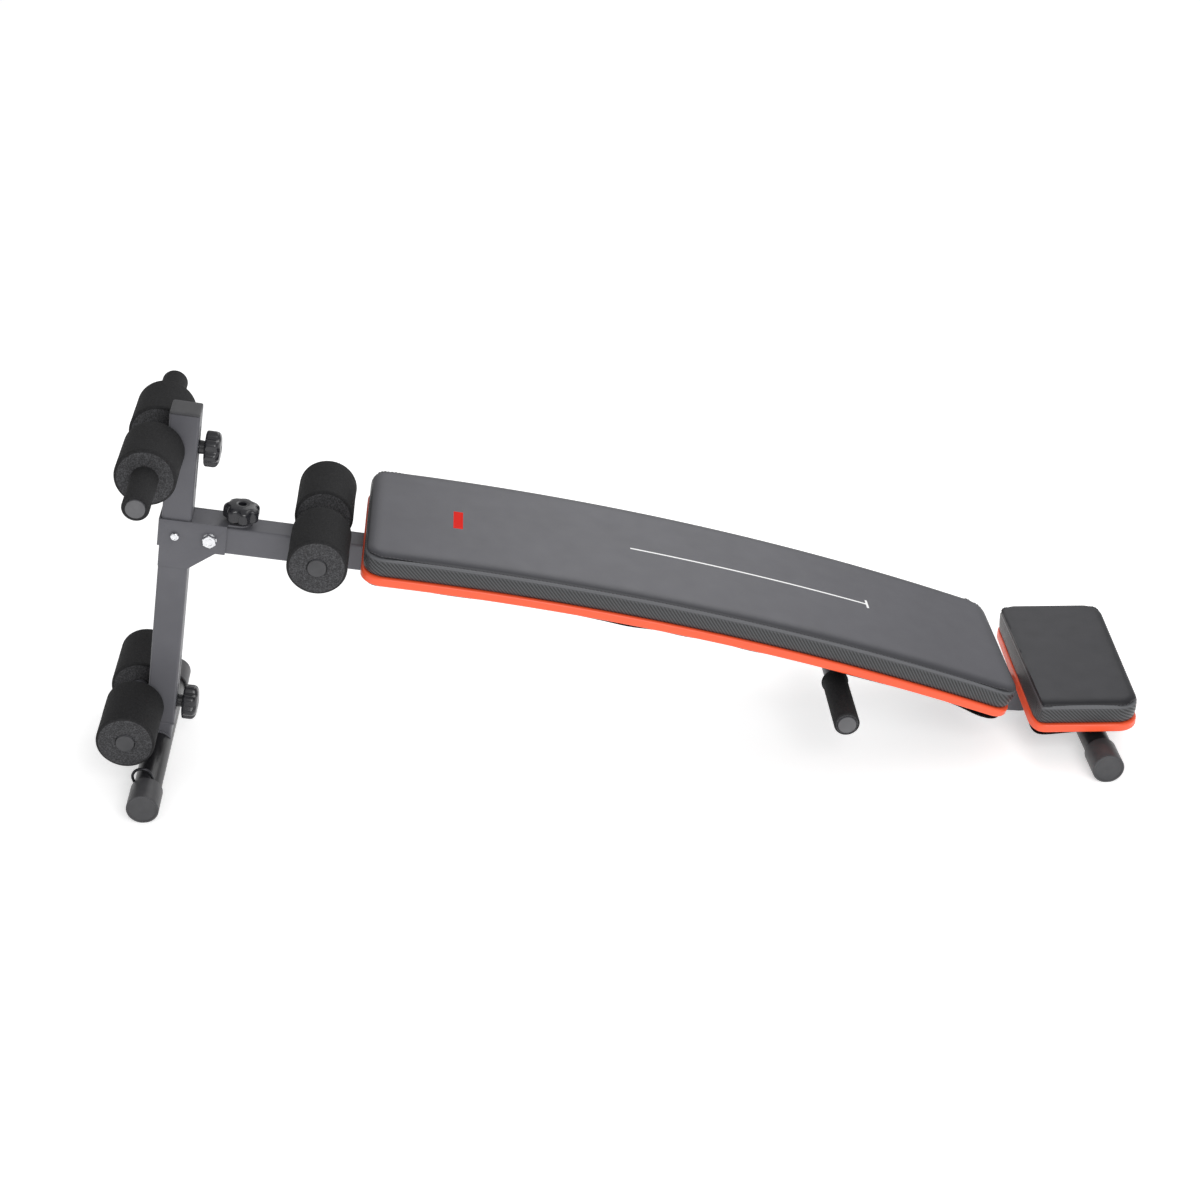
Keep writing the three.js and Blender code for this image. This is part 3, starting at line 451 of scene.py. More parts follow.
@dataclass(frozen=True)
class CarbonVinyl(Finish):
    """Vinyl embossed and printed as a twill of carbon tows, a little glossier on the light tows."""

    tow_mm: float = 1.3
    light: str = "#4C4D4F"
    # painted highlight: the paler colour of the fold's lit top edge below the seam
    fold: str = "#606164"

    def surface(self, tree: bpy.types.NodeTree, shader: bpy.types.Node) -> None:
        """A two-over-two twill, with a painted highlight on the fold at the seam.

        A square is a warp tow where column plus row, modulo 4, is under 2.

        Args:
            tree: its nodes.
            shader: its shader.
        """
        uv = add_node(tree, "ShaderNodeUVMap", uv_map=COVER_MAP).outputs["UV"]
        counts = {0: uv, 1: (per_size(self.tow_mm),) * 3}
        scaled = add_node(tree, "ShaderNodeVectorMath", counts, operation="MULTIPLY").outputs[0]
        cells = add_node(tree, "ShaderNodeVectorMath", {0: scaled}, operation="FLOOR").outputs[0]
        apart = add_node(tree, "ShaderNodeSeparateXYZ", {"Vector": cells}).outputs
        total = add_node(tree, "ShaderNodeMath", {0: apart["X"], 1: apart["Y"]}, operation="ADD").outputs[0]
        turn = add_node(tree, "ShaderNodeMath", {0: total, 1: 4.0}, operation="FLOORED_MODULO").outputs[0]
        warp = add_node(tree, "ShaderNodeMath", {0: turn, 1: 1.5}, operation="LESS_THAN").outputs[0]
        self._mottle(tree, shader, warp, self.colour, self.light)
        # painted highlight along the fold below the seam
        self._paint_seam_shading(tree, shader, self.fold)
        self._gloss(tree, shader, warp, -0.1)
        inside = add_node(tree, "ShaderNodeVectorMath", {0: scaled}, operation="FRACTION").outputs[0]
        part = add_node(tree, "ShaderNodeSeparateXYZ", {"Vector": inside}).outputs
        across = add_node(tree, "ShaderNodeMix", {0: warp, 2: part["X"], 3: part["Y"]}, data_type="FLOAT").outputs[0]
        round_tow = add_node(tree, "ShaderNodeMath", {0: across, 1: math.pi}, operation="MULTIPLY").outputs[0]
        height = add_node(tree, "ShaderNodeMath", {0: round_tow}, operation="SINE").outputs[0]
        self._relief(tree, shader, height, 0.1, 0.6)


@dataclass(frozen=True)
class EdgeVinyl(Finish):
    """Plasticised PVC strip: bright, glossy and very slightly rippled by its staples."""

    def surface(self, tree: bpy.types.NodeTree, shader: bpy.types.Node) -> None:
        """Slow ripples and a faint drift of colour."""
        self._mottle(tree, shader, self._noise(tree, 30.0), shade(self.colour, 0.95), shade(self.colour, 1.04))
        self._relief(tree, shader, self._noise(tree, 9.0), 0.2, 0.5)


@dataclass(frozen=True)
class SpunCloth(Finish):
    """Spun-bonded polypropylene cloth: black, matt and dimpled on a 2 mm pitch."""

    dimple_mm: float = 2.0

    def surface(self, tree: bpy.types.NodeTree, shader: bpy.types.Node) -> None:
        """Bond dimples, and fibres that catch the light.

        Args:
            tree: its nodes.
            shader: its shader.
        """
        dots = {"Vector": self._spot(tree), "Scale": per_size(self.dimple_mm), "Randomness": 0.15}
        pits = add_node(tree, "ShaderNodeTexVoronoi", dots, feature="F1").outputs["Distance"]
        self._mottle(tree, shader, self._noise(tree, 1.4, 4.0), shade(self.colour, 0.7), shade(self.colour, 1.5))
        self._relief(tree, shader, pits, 0.25, 0.8)


@dataclass(frozen=True)
class PlatedSteel(Finish):
    """Zinc-plated or painted steel: the plate has a faint spangle and is dulled by handling."""

    def surface(self, tree: bpy.types.NodeTree, shader: bpy.types.Node) -> None:
        """Uneven gloss and a trace of spangle.

        Args:
            tree: its nodes.
            shader: its shader.
        """
        self._mottle(tree, shader, self._noise(tree, 3.0), shade(self.colour, 0.88), shade(self.colour, 1.05))
        self._gloss(tree, shader, self._noise(tree, 2.0, 4.0), 0.08)
        self._relief(tree, shader, self._noise(tree, 0.8), 0.03, 0.5)


def shade(code: str, share: float) -> str:
    """The same colour, darker or lighter by a share of its sRGB values."""
    values = [min(255, max(0, round(int(code[k:k + 2], 16) * share))) for k in (1, 3, 5)]
    return "#" + "".join(f"{value:02X}" for value in values)


COVER_MAP = "cover"
# point attribute: how strong the painted shade on the leather and the painted highlight on the twill are by the pads'
# seams
PAINTED_SEAM_SHADING = "painted_seam_shading"
FRAME_COAT = PowderCoat("graphite_powder_coat", "#5E5E63", 0.42, specular=0.35)
FOOT_COAT = PowderCoat("black_powder_coat", "#242426", 0.3)
CAP_PLASTIC = MouldedPlastic("grey_polypropylene", "#464648", 0.42, specular=0.3)
GRIP_PLUG = MouldedPlastic("grip_plug_polypropylene", "#606062", 0.5, specular=0.3)
ROLLER_PLUG = MouldedPlastic("roller_plug_polypropylene", "#464648", 0.55, specular=0.3)
KNOB_PLASTIC = MouldedPlastic("gloss_black_abs", "#26262A", 0.22, depth_mm=0.015)
FOAM_SKIN = NitrileFoam("nitrile_foam_skin", "#2A2A2B", 0.85, specular=0.15)
FOAM_CUT = NitrileFoam("nitrile_foam_cut_end", "#3A3A3B", 0.9, specular=0.15, cell_mm=1.8, cut=0.22)
# painted shade: the head pad's leather is made darker than the long pad's, standing in for the light falling off
# towards that end
HEAD_LEATHER = SoftLeather("head_pad_leather", "#2F2F33", 0.5, specular=0.3)
CARBON_STRIP = CarbonVinyl("carbon_twill_vinyl", "#2B2C2D", 0.42, specular=0.35)
ORANGE_EDGE = EdgeVinyl("orange_edge_vinyl", "#FF5A33", 0.34)
BACK_CLOTH = SpunCloth("black_spun_cloth", "#161617", 0.9, specular=0.2)
ZINC = PlatedSteel("bright_zinc_plate", "#E4E5E8", 0.2, metallic=1.0)
DARK_WIRE = PlatedSteel("blackened_wire", "#3A3A3D", 0.35, metallic=0.9)
THREAD = Finish("polyester_thread", "#58585B", 0.7, specular=0.2)


# --------------------------------------------------------------------------- mesh making
def grid_faces(rows: int, columns: int, wrap_rows: bool, wrap_columns: bool) -> Array:
    """Quads that join a grid of points, numbered row by row, with each wrapped way closed.

    Args:
        rows: how many rows.
        columns: how many columns.
        wrap_rows: whether the last row joins the first.
        wrap_columns: whether the last column joins the first.

    Returns:
        The faces, as rows of four point numbers.
    """
    row = np.arange(rows if wrap_rows else rows - 1)[:, None]
    column = np.arange(columns if wrap_columns else columns - 1)[None, :]
    next_row = (row + 1) % rows
    next_column = (column + 1) % columns
    corners = [
        row * columns + column, row * columns + next_column,
        next_row * columns + next_column, next_row * columns + column,
    ]
    return np.stack([np.broadcast_to(corner, (len(row), column.shape[1])) for corner in corners], -1).reshape(-1, 4)


@dataclass
class Piece:
    """A mesh object under construction, with its place in its mesh."""

    name: str
    points: Array
    faces: Array | list
    uv: Array | None = None
    # each point's strength of painted seam shade and painted highlight
    painted_seam_shading: Array | None = None
    finishes: Sequence[Finish] = ()
    finish_of_face: Array | None = None
    sharp: float = math.radians(35.0)

    def build(self) -> bpy.types.Object:
        """Makes the object: doubles merged, normals outwards, smooth but for its sharp edges.

        Returns:
            The object.
        """
        mesh = bpy.data.meshes.new(self.name)
        faces = self.faces.tolist() if isinstance(self.faces, np.ndarray) else self.faces
        mesh.from_pydata(np.asarray(self.points, float).reshape(-1, 3), [], faces)
        if self.uv is not None:
            layer = mesh.uv_layers.new(name=COVER_MAP)
            corner = np.zeros(len(mesh.loops), np.int32)
            mesh.loops.foreach_get("vertex_index", corner)
            layer.data.foreach_set("uv", np.asarray(self.uv, np.float32).reshape(-1, 2)[corner].ravel())
        if self.painted_seam_shading is not None:
            depth = mesh.attributes.new(PAINTED_SEAM_SHADING, "FLOAT", "POINT")
            depth.data.foreach_set("value", np.asarray(self.painted_seam_shading, np.float32))
        for finish in self.finishes:
            mesh.materials.append(finish.material())
        if self.finish_of_face is not None:
            mesh.polygons.foreach_set("material_index", np.asarray(self.finish_of_face, np.int32).ravel())
        tidy_mesh(mesh, self.sharp)
        made = bpy.data.objects.new(self.name, mesh)
        bpy.context.scene.collection.objects.link(made)
        return made


def tidy_mesh(mesh: bpy.types.Mesh, sharp: float) -> None:
    """Merges doubles, drops faces of no area, turns faces outwards and sets the shading.

    Args:
        mesh: the mesh.
        sharp: the angle above which an edge stays sharp.
    """
    body = bmesh.new()
    body.from_mesh(mesh)
    bmesh.ops.remove_doubles(body, verts=body.verts, dist=2e-6)
    bmesh.ops.dissolve_degenerate(body, edges=body.edges, dist=1e-6)
    bmesh.ops.recalc_face_normals(body, faces=body.faces)
    body.to_mesh(mesh)
    body.free()
    mesh.polygons.foreach_set("use_smooth", np.ones(len(mesh.polygons), bool))
    mesh.set_sharp_from_angle(angle=sharp)
    mesh.update()


def weigh_normals(made: bpy.types.Object) -> bpy.types.Object:
    """Lets large flat faces set the shading at their round edges.

    Args:
        made: the piece.

    Returns:
        The same piece.
    """
    modifier = made.modifiers.new("even_flats", "WEIGHTED_NORMAL")
    modifier.keep_sharp = True
    modifier.weight = 100
    return made


def carve(made: bpy.types.Object, tools: Iterable[bpy.types.Object]) -> bpy.types.Object:
    """Cuts each tool out of a piece, for good, and throws the tools away.

    Args:
        made: the piece.
        tools: what is cut out.

    Returns:
        The same piece.
    """
    for tool in tools:
        modifier = made.modifiers.new("cut", "BOOLEAN")
        modifier.operation = "DIFFERENCE"
        modifier.solver = "EXACT"
        modifier.object = tool
        graph = bpy.context.evaluated_depsgraph_get()
        mesh = bpy.data.meshes.new_from_object(made.evaluated_get(graph))
        made.modifiers.remove(modifier)
        made.data = mesh
        bpy.data.objects.remove(tool)
    made.data.polygons.foreach_set("use_smooth", np.ones(len(made.data.polygons), bool))
    made.data.set_sharp_from_angle(angle=math.radians(30.0))
    return made


def filleted(corners: Sequence[Sequence[float]], radii: float | Sequence[float], steps: int = 4,
             closed: bool = False) -> Array:
    """Rounds the corners of a polyline: each is a parabola between points a radius away from it.

    Args:
        corners: the polyline's points.
        radii: how far from each corner its round begins, one value or one for each.
        steps: segments in each round.
        closed: whether the last point joins the first.

    Returns:
        The points of the rounded line.
    """
    points = np.asarray(corners, float)
    reach = np.broadcast_to(np.asarray(radii, float), (len(points),))
    before = np.roll(points, 1, 0) - points
    after = np.roll(points, -1, 0) - points
    long_before = np.linalg.norm(before, axis=1)
    long_after = np.linalg.norm(after, axis=1)
    cut = np.minimum(reach, 0.49 * np.minimum(long_before, long_after))
    start = points + before / np.maximum(long_before, 1e-12)[:, None] * cut[:, None]
    end = points + after / np.maximum(long_after, 1e-12)[:, None] * cut[:, None]
    t = np.linspace(0.0, 1.0, steps + 1)[None, :, None]
    rounds = (1 - t) ** 2 * start[:, None] + 2 * t * (1 - t) * points[:, None] + t ** 2 * end[:, None]
    if not closed:
        inner = rounds[1:-1].reshape(-1, points.shape[1])
        return np.vstack([points[:1], inner, points[-1:]])
    return rounds.reshape(-1, points.shape[1])


@dataclass(frozen=True)
class Axes:
    """A place to build in: an origin and three unit directions."""

    origin: Array
    x: Array
    y: Array
    z: Array

    def put(self, points: Array) -> Array:
        """Points given along x, y and z, in the bench's own frame."""
        p = np.asarray(points, float)
        return self.origin + p[..., 0:1] * self.x + p[..., 1:2] * self.y + p[..., 2:3] * self.z


def axes_along(origin: Sequence[float], z: Sequence[float], hint: Sequence[float] = ACROSS) -> Axes:
    """Axes at a point, with z along a direction and y as near to the hint as it can be.

    Args:
        origin: the point.
        z: the direction.
        hint: where y should point.

    Returns:
        The axes.
    """
    up = np.asarray(z, float) / np.linalg.norm(z)
    side = np.asarray(hint, float) - up * np.dot(hint, up)
    side /= np.linalg.norm(side)
    return Axes(np.asarray(origin, float), np.cross(side, up), side, up)


def turned(profile: Array, place: Axes, sides: int = 96, closed: bool = False,
           change: Callable[[Array, Array, Array], tuple[Array, Array]] | None = None) -> tuple[Array, Array]:
    """Turns a profile about z: radius times (cos, sin) of the angle, at the profile's height.

    Args:
        profile: radius and height pairs.
        place: where the axis stands.
        sides: steps round the turn.
        closed: whether the profile joins up with itself, as a ring's does.
        change: a function of angle, radius and height that gives a new radius and height.

    Returns:
        The points, row by row along the profile, and the faces.
    """
    radius = np.repeat(profile[:, 0:1], sides, 1)
    height = np.repeat(profile[:, 1:2], sides, 1)
    angle = np.broadcast_to(np.arange(sides) / sides * TAU, radius.shape)
    if change:
        radius, height = change(angle, radius, height)
    points = place.put(np.stack([radius * np.cos(angle), radius * np.sin(angle), height], -1))
    return points, grid_faces(len(profile), sides, closed, True)


def cutting_rod(name: str, centre: Sequence[float], radius: float, hint: Sequence[float]) -> bpy.types.Object:
    """A round rod across the bench, to cut holes and notches with.

    Args:
        name: the rod's name.
        centre: the rod's middle.
        radius: its radius.
        hint: where y should point.

    Returns:
        The rod.
    """
    profile = np.array([[0.0, -ROD_REACH], [radius, -ROD_REACH], [radius, ROD_REACH], [0.0, ROD_REACH]])
    points, faces = turned(profile, axes_along(centre, ACROSS, hint), 48)
    return Piece(name, points, faces).build()


def rounded_box(half_x: Array, half_y: Array, corner: Array, steps: int, run: int) -> Array:
    """The outline of a rounded rectangle, once for each size.

    Its points are four quarter circles with a straight run between each and the next.

    Args:
        half_x: half the length, for each row.
        half_y: half the width, for each row.
        corner: the corner radius, for each row.
        steps: segments in each quarter.
        run: extra points along each straight.

    Returns:
        Rows of (x, y) points, anticlockwise.
    """
    quarter = np.arange(4)[:, None]
    angle = ((quarter + np.linspace(0.0, 1.0, steps + 1)[None, :]) * math.pi / 2).ravel()
    sign_x = np.repeat([1.0, -1.0, -1.0, 1.0], steps + 1)
    sign_y = np.repeat([1.0, 1.0, -1.0, -1.0], steps + 1)
    x = sign_x * (half_x - corner)[:, None] + corner[:, None] * np.cos(angle)
    y = sign_y * (half_y - corner)[:, None] + corner[:, None] * np.sin(angle)
    ring = np.stack([x, y], -1)
    if not run:
        return ring
    ends = ring[:, steps::steps + 1][:, :4]
    starts = np.roll(ring[:, ::steps + 1][:, :4], -1, 1)
    share = (np.arange(run) + 1.0) / (run + 1.0)
    straights = ends[:, :, None] + (starts - ends)[:, :, None] * share[None, None, :, None]
    arcs = ring.reshape(len(ring), 4, steps + 1, 2)
    return np.concatenate([arcs, straights], 2).reshape(len(ring), -1, 2)


def stepped_in(profile: Array, half_x: float, half_y: float, corner: float, place: Axes,
               closed: bool = False, steps: int = 6) -> tuple[Array, Array | list]:
    """A rounded rectangle drawn in by the profile's inset at each of its heights.

    Args:
        profile: inset and height pairs.
        half_x: half the outline's length.
        half_y: half its width.
        corner: its corner radius.
        place: where it stands.
        closed: whether the profile joins up with itself; otherwise its two ends are capped.
        steps: segments in each corner.

    Returns:
        The points and the faces.
    """
    inset = profile[:, 0]
    ring = rounded_box(half_x - inset, half_y - inset, np.maximum(corner - inset, 2e-4), steps, 0)
    height = np.broadcast_to(profile[:, 1][:, None, None], (*ring.shape[:2], 1))
    points = place.put(np.concatenate([ring, height], -1))
    count = ring.shape[1]
    faces = grid_faces(len(profile), count, closed, True)
    if closed:
        return points, faces
    low = list(range(count))[::-1]
    high = list(range((len(profile) - 1) * count, len(profile) * count))
    return points, [*faces.tolist(), low, high]


def swept(path: Array, radius: Array, across: Sequence[float], sides: int = 12) -> tuple[Array, list]:
    """A round section carried along a flat path.

    Each point's section stands square to the path's gradient, with one axis along `across`.

    Args:
        path: the points of the path.
        radius: the section's radius at each.
        across: the direction square to the path's plane.
        sides: steps round the section.

    Returns:
        The points and the faces, with both ends capped.
    """
    tangent = np.gradient(path, axis=0)
    tangent /= np.linalg.norm(tangent, axis=1)[:, None]
    side = np.broadcast_to(np.asarray(across, float), path.shape)
    up = np.cross(side, tangent)
    up /= np.linalg.norm(up, axis=1)[:, None]
    angle = np.arange(sides) / sides * TAU
    ring = np.cos(angle)[None, :, None] * side[:, None] + np.sin(angle)[None, :, None] * up[:, None]
    points = path[:, None] + ring * radius[:, None, None]
    faces = grid_faces(len(path), sides, False, True).tolist()
    last = (len(path) - 1) * sides
    return points, [*faces, list(range(sides))[::-1], list(range(last, last + sides))]


def soften(frame: dict, node: str, finish: Finish, edge_mm: float, name: str) -> bpy.types.Object:
    """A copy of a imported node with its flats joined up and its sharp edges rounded.

    Args:
        frame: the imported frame.
        node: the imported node.
        finish: its finish.
        edge_mm: how wide the rounding is.
        name: the piece's name.

    Returns:
        The softened copy.
    """
    mesh = frame["nodes"][node].data.copy()
    mesh.materials.clear()
    mesh.materials.append(finish.material())
    body = bmesh.new()
    body.from_mesh(mesh)
    bmesh.ops.remove_doubles(body, verts=body.verts, dist=2e-6)
    bmesh.ops.dissolve_limit(body, angle_limit=math.radians(0.6), verts=body.verts, edges=body.edges)
    body.to_mesh(mesh)
    body.free()
    mesh.polygons.foreach_set("use_smooth", np.ones(len(mesh.polygons), bool))
    mesh.polygons.foreach_set("material_index", np.zeros(len(mesh.polygons), np.int32))
    made = bpy.data.objects.new(name, mesh)
    bpy.context.scene.collection.objects.link(made)
    bevel = made.modifiers.new("soft_edges", "BEVEL")
    bevel.width = edge_mm * MM
    bevel.segments = 2
    bevel.limit_method = "ANGLE"
    bevel.angle_limit = math.radians(40.0)
    bevel.harden_normals = True
    return made


# --------------------------------------------------------------------------- the frame's own places
class Body(Enum):
    """The moving bodies that pieces ride on."""

    FRAME = "frame"
    STAND = "front_stand"
    LOCK = "fold_lock"
    UPPER_BAR = "upper_foot_bar"
    UPPER_CLAMP = "upper_clamp"
    LOWER_BAR = "lower_foot_bar"
    LOWER_CLAMP = "lower_clamp"


@dataclass
class Workshop:
    """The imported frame, and how a piece is set down on it."""

    frame: dict
    made: int = 0

    def low_high(self, node: str) -> tuple[Array, Array]:
        """A node's lowest and highest corners."""
        low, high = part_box(node)
        return np.array(low), np.array(high)

    def middle(self, node: str) -> Array:
        """The middle of a node's box."""
        low, high = self.low_high(node)
        return (low + high) / 2.0

    def joint(self, name: str) -> dict:
        """A joint, by name."""
        return next(joint for joint in self.frame["joints"] if joint["name"] == name)

    def set_down(self, piece: bpy.types.Object, body: Body | str, slot: str, *nodes: str,
                 fill: float | None = None) -> bpy.types.Object:
        """Rides a piece on a body and hides the nodes that it stands for.

        Args:
            piece: the piece.
            body: what it rides on.
            slot: its material slot; not used.
            *nodes: the nodes that it stands for.
            fill: how tight a padded piece is; not used.

        Returns:
            The same piece.
        """
        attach(piece, body.value if isinstance(body, Body) else body)
        if nodes:
            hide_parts(*nodes)
        self.made += 1
        LOG.info("%s: %d faces, stands for %s", piece.name, len(piece.data.polygons), ", ".join(nodes) or "itself")
        return piece

    def make(self, name: str, shape: tuple[Array, Array | list], finish: Finish, body: Body | str, slot: str,
             *nodes: str, **look: float) -> bpy.types.Object:
        """Builds a piece of one finish from its points and faces, and sets it down."""
        piece = Piece(name, *shape, finishes=[finish], **look).build()
        return self.set_down(piece, body, slot, *nodes)

    def finish_node(self, node: str, name: str, finish: Finish, edge_mm: float, body: Body, slot: str) -> None:
        """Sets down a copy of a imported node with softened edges, in place of the node."""
        self.set_down(soften(self.frame, node, finish, edge_mm, name), body, slot, node)

    def stand_axes(self) -> tuple[Array, Array]:
        """The post's two directions: up along it, and back square to it.

        Returns:
            Both directions, of unit length.
        """
        up = np.array(self.joint("upper_bar_height")["axis"], float)
        back = np.array(self.joint("upper_knob_spin")["axis"], float)
        return up / np.linalg.norm(up), back / np.linalg.norm(back)

    def across_axes(self, node: str, sign: float) -> Axes:
        """Axes with z across the bench, outwards on one side, at the middle plane of a node's centre.

        Args:
            node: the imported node.
            sign: -1 near, 1 far.

        Returns:
            The axes.
        """
        centre = self.middle(node)
        centre[1] = 0.0
        return axes_along(centre, (0.0, sign, 0.0), UPWARD)


@dataclass
class RailLine:
    """The rail's centre line: straight from the hinge, then a long arch, a bend and a level end."""

    hinge: Array
    slope: float
    rear_x: float
    straight: float = 0.258
    tail: float = 0.0885
    tail_height: float = 0.0367
    bend: float = 0.060
    arch: float = field(init=False)
    arch_angle: float = field(init=False)

    def __post_init__(self) -> None:
        """Finds, by halving, the angle at which the arch meets the bend at the right height."""
        run = self.rear_x - self.tail - self.start[0]
        drop = self.start[1] - self.tail_height
        low, high = self.slope + 1e-3, math.pi / 3
        for _ in range(60):
            angle = (low + high) / 2.0
            radius = self._radius(run, angle)
            fall = radius * (math.cos(self.slope) - math.cos(angle)) + self.bend * (1 - math.cos(angle))
            low, high = (angle, high) if fall < drop else (low, angle)
        self.arch_angle = low
        self.arch = self._radius(run, low)

    def _radius(self, run: float, angle: float) -> float:
        return (run - self.bend * math.sin(angle)) / (math.sin(angle) - math.sin(self.slope))

    @property
    def start(self) -> tuple[float, float]:
        """Where the arch begins."""
        return (
            self.hinge[0] + self.straight * math.cos(self.slope),
            self.hinge[2] - self.straight * math.sin(self.slope),
        )

    @property
    def arch_end(self) -> float:
        """How far along the line the arch ends."""
        return self.straight + self.arch * (self.arch_angle - self.slope)

    @property
    def bend_end(self) -> float:
        """How far along the line the bend ends."""
        return self.arch_end + self.bend * self.arch_angle

    @property
    def foot(self) -> float:
        """How far along the line the rear foot tube is."""
        return self.bend_end + self.tail

    def at(self, along: Array, height: Array) -> tuple[Array, Array]:
        """The x and z of points along the line, lifted square to it.

        Each stretch is a circle, or a straight of no radius: centre plus (radius + height) times
        (sin, cos) of the slope.

        Args:
            along: distance from the hinge, along the line.
            height: distance above the line.

        Returns:
            The x and the z of each point.
        """
        along, height = np.broadcast_arrays(np.asarray(along, float), np.asarray(height, float))
        centre_x = self.start[0] - self.arch * math.sin(self.slope)
        centre_z = self.start[1] - self.arch * math.cos(self.slope)
        bend_x = centre_x + (self.arch + self.bend) * math.sin(self.arch_angle)
        bend_z = centre_z + (self.arch + self.bend) * math.cos(self.arch_angle)
        stretches = [along <= self.straight, along <= self.arch_end, along <= self.bend_end]
        slope = np.select(stretches, [
            np.full_like(along, self.slope),
            self.slope + (along - self.straight) / self.arch,
            self.arch_angle - (along - self.arch_end) / self.bend,
        ], 0.0)
        radius = np.select(stretches, [0.0, self.arch, -self.bend], -self.bend)
        x = np.select(stretches, [self.hinge[0] + along * math.cos(self.slope), centre_x, bend_x],
                      bend_x + along - self.bend_end)
        z = np.select(stretches, [self.hinge[2] - along * math.sin(self.slope), centre_z, bend_z], bend_z)
        return x + (radius + height) * np.sin(slope), z + (radius + height) * np.cos(slope)

    def axes(self, along: float) -> Axes:
        """Axes on the line, with x along it and z square to it.

        Args:
            along: distance from the hinge, along the line.

        Returns:
            The axes.
        """
        x, z = self.at(np.array([along - 1e-4, along + 1e-4, along]), np.zeros(3))
        ahead = np.array([x[1] - x[0], 0.0, z[1] - z[0]])
        ahead /= np.linalg.norm(ahead)
        side = np.array([0.0, 1.0, 0.0])
        return Axes(np.array([x[2], 0.0, z[2]]), ahead, side, np.cross(ahead, side))


# --------------------------------------------------------------------------- square tube and plates
@dataclass
class SquareTube:
    """Forty-millimetre square steel tube with rolled corners."""

    half: float = 0.020
    wall: float = 0.002
    corner: float = 0.0035
    steps: int = 6

    def loop(self, inset: float) -> Array:
        """The section's outline, drawn in by an inset."""
        size = np.array([self.half - inset])
        return rounded_box(size, size, np.array([max(self.corner - inset, 5e-4)]), self.steps, 0)[0]


@dataclass
class FrontPost(SquareTube):
    """The post: a straight square tube, slotted front and rear for the two foot bars' bolts."""

    slot_half_width: float = 0.0055
    stub_half: float = 0.017
    stub_height: float = 0.035
    plate: float = 0.003
    plate_over: float = 0.001
    plate_corner: float = 0.003
    plate_edge: float = 0.0007
    cap_flange: float = 0.003
    cap_stem: float = 0.013
    cap_crown: float = 0.0004

    def build(self, shop: Workshop) -> None:
        """Makes the post, its top cap, and the plate and stub that stand it on the foot tube.

        Args:
            shop: the workshop.
        """
        up, back = shop.stand_axes()
        foot = shop.middle("front_foot_tube")
        place = Axes(foot, back, np.array(ACROSS), up)
        reach = self.half * abs(float(up[0]))
        length = (shop.low_high("front_post")[1][2] - foot[2] - reach) / float(up[2])
        bottom = self.stub_height + self.plate
        profile = np.array([[0.0, bottom], [0.0, length], [self.wall, length], [self.wall, bottom]])
        points, faces = stepped_in(profile, self.half, self.half, self.corner, place, closed=True, steps=self.steps)
        post = Piece("front_post_tube", points, faces, finishes=[FRAME_COAT]).build()
        carve(post, [self._slot(shop, place, name) for name in ("lower", "upper")])
        shop.set_down(weigh_normals(post), Body.STAND, "powder_coat", "front_post")
        profile = np.array([[0.0, 0.0], [0.0, self.stub_height], [self.wall, self.stub_height], [self.wall, 0.0]])
        points, faces = stepped_in(profile, self.stub_half, self.stub_half, self.corner, place, closed=True)
        stub = Piece("post_stub", points, faces, finishes=[FRAME_COAT]).build()
        carve(stub, [cutting_rod("notch", place.origin, NOTCH_RADIUS, place.z)])
        shop.set_down(stub, Body.STAND, "powder_coat")
        low, inner = self.stub_height, self.half / 2.0
        profile = filleted([[inner, low], [0.0, low], [0.0, bottom], [inner, bottom]], self.plate_edge, 3)
        points, faces = stepped_in(profile, self.half, self.half + self.plate_over, self.plate_corner, place)
        plate = Piece("post_base_plate", points, faces, finishes=[FRAME_COAT]).build()
        shop.set_down(weigh_normals(plate), Body.STAND, "powder_coat")
        self._cap(shop, place, length)

    def _slot(self, shop: Workshop, place: Axes, name: str) -> bpy.types.Object:
        """What cuts a bar's slot: round-ended, and as long as its joint's travel.

        Args:
            shop: the workshop.
            place: where it stands.
            name: which bar's slot.

        Returns:
            The tool.
        """
        travel = shop.joint(f"{name}_bar_height")["range_m"]
        clamp = np.array(shop.joint(f"{name}_knob_spin")["pos_m"]) - place.origin
        height = float(np.dot(clamp, place.z))
        middle = place.origin + place.z * (height + (travel[0] + travel[1]) / 2.0)
        across = Axes(middle - place.x * ROD_REACH, place.z, place.y, place.x)
        half_length = (travel[1] - travel[0]) / 2.0 + self.slot_half_width
        profile = np.array([[0.0, 0.0], [0.0, 2.0 * ROD_REACH]])
        points, faces = stepped_in(profile, half_length, self.slot_half_width, self.slot_half_width * 0.999,
                                   across, steps=8)
        return Piece(f"slot_{name}", points, faces).build()

    def _cap(self, shop: Workshop, place: Axes, length: float) -> None:
        """The top cap: a stem inside the tube and a softly crowned flange over its end.

        Args:
            shop: the workshop.
            place: where it stands.
            length: the post's length.
        """
        gap, stem, top = CLEARANCE, self.wall + CLEARANCE, CLEARANCE + self.cap_flange
        profile = filleted([
            [stem, -self.cap_stem], [stem, gap], [0.0001, gap], [0.0001, top], [0.006, top + self.cap_crown],
        ], [0.0005, 0.0005, 0.0005, 0.0016, 0.0])
        end = Axes(place.origin + place.z * length, place.x, place.y, place.z)
        points, faces = stepped_in(profile, self.half, self.half, self.corner, end)
        cap = weigh_normals(Piece("post_cap", points, faces, finishes=[CAP_PLASTIC]).build())
        shop.set_down(cap, Body.STAND, "grey_plastic", "post_top_cap")


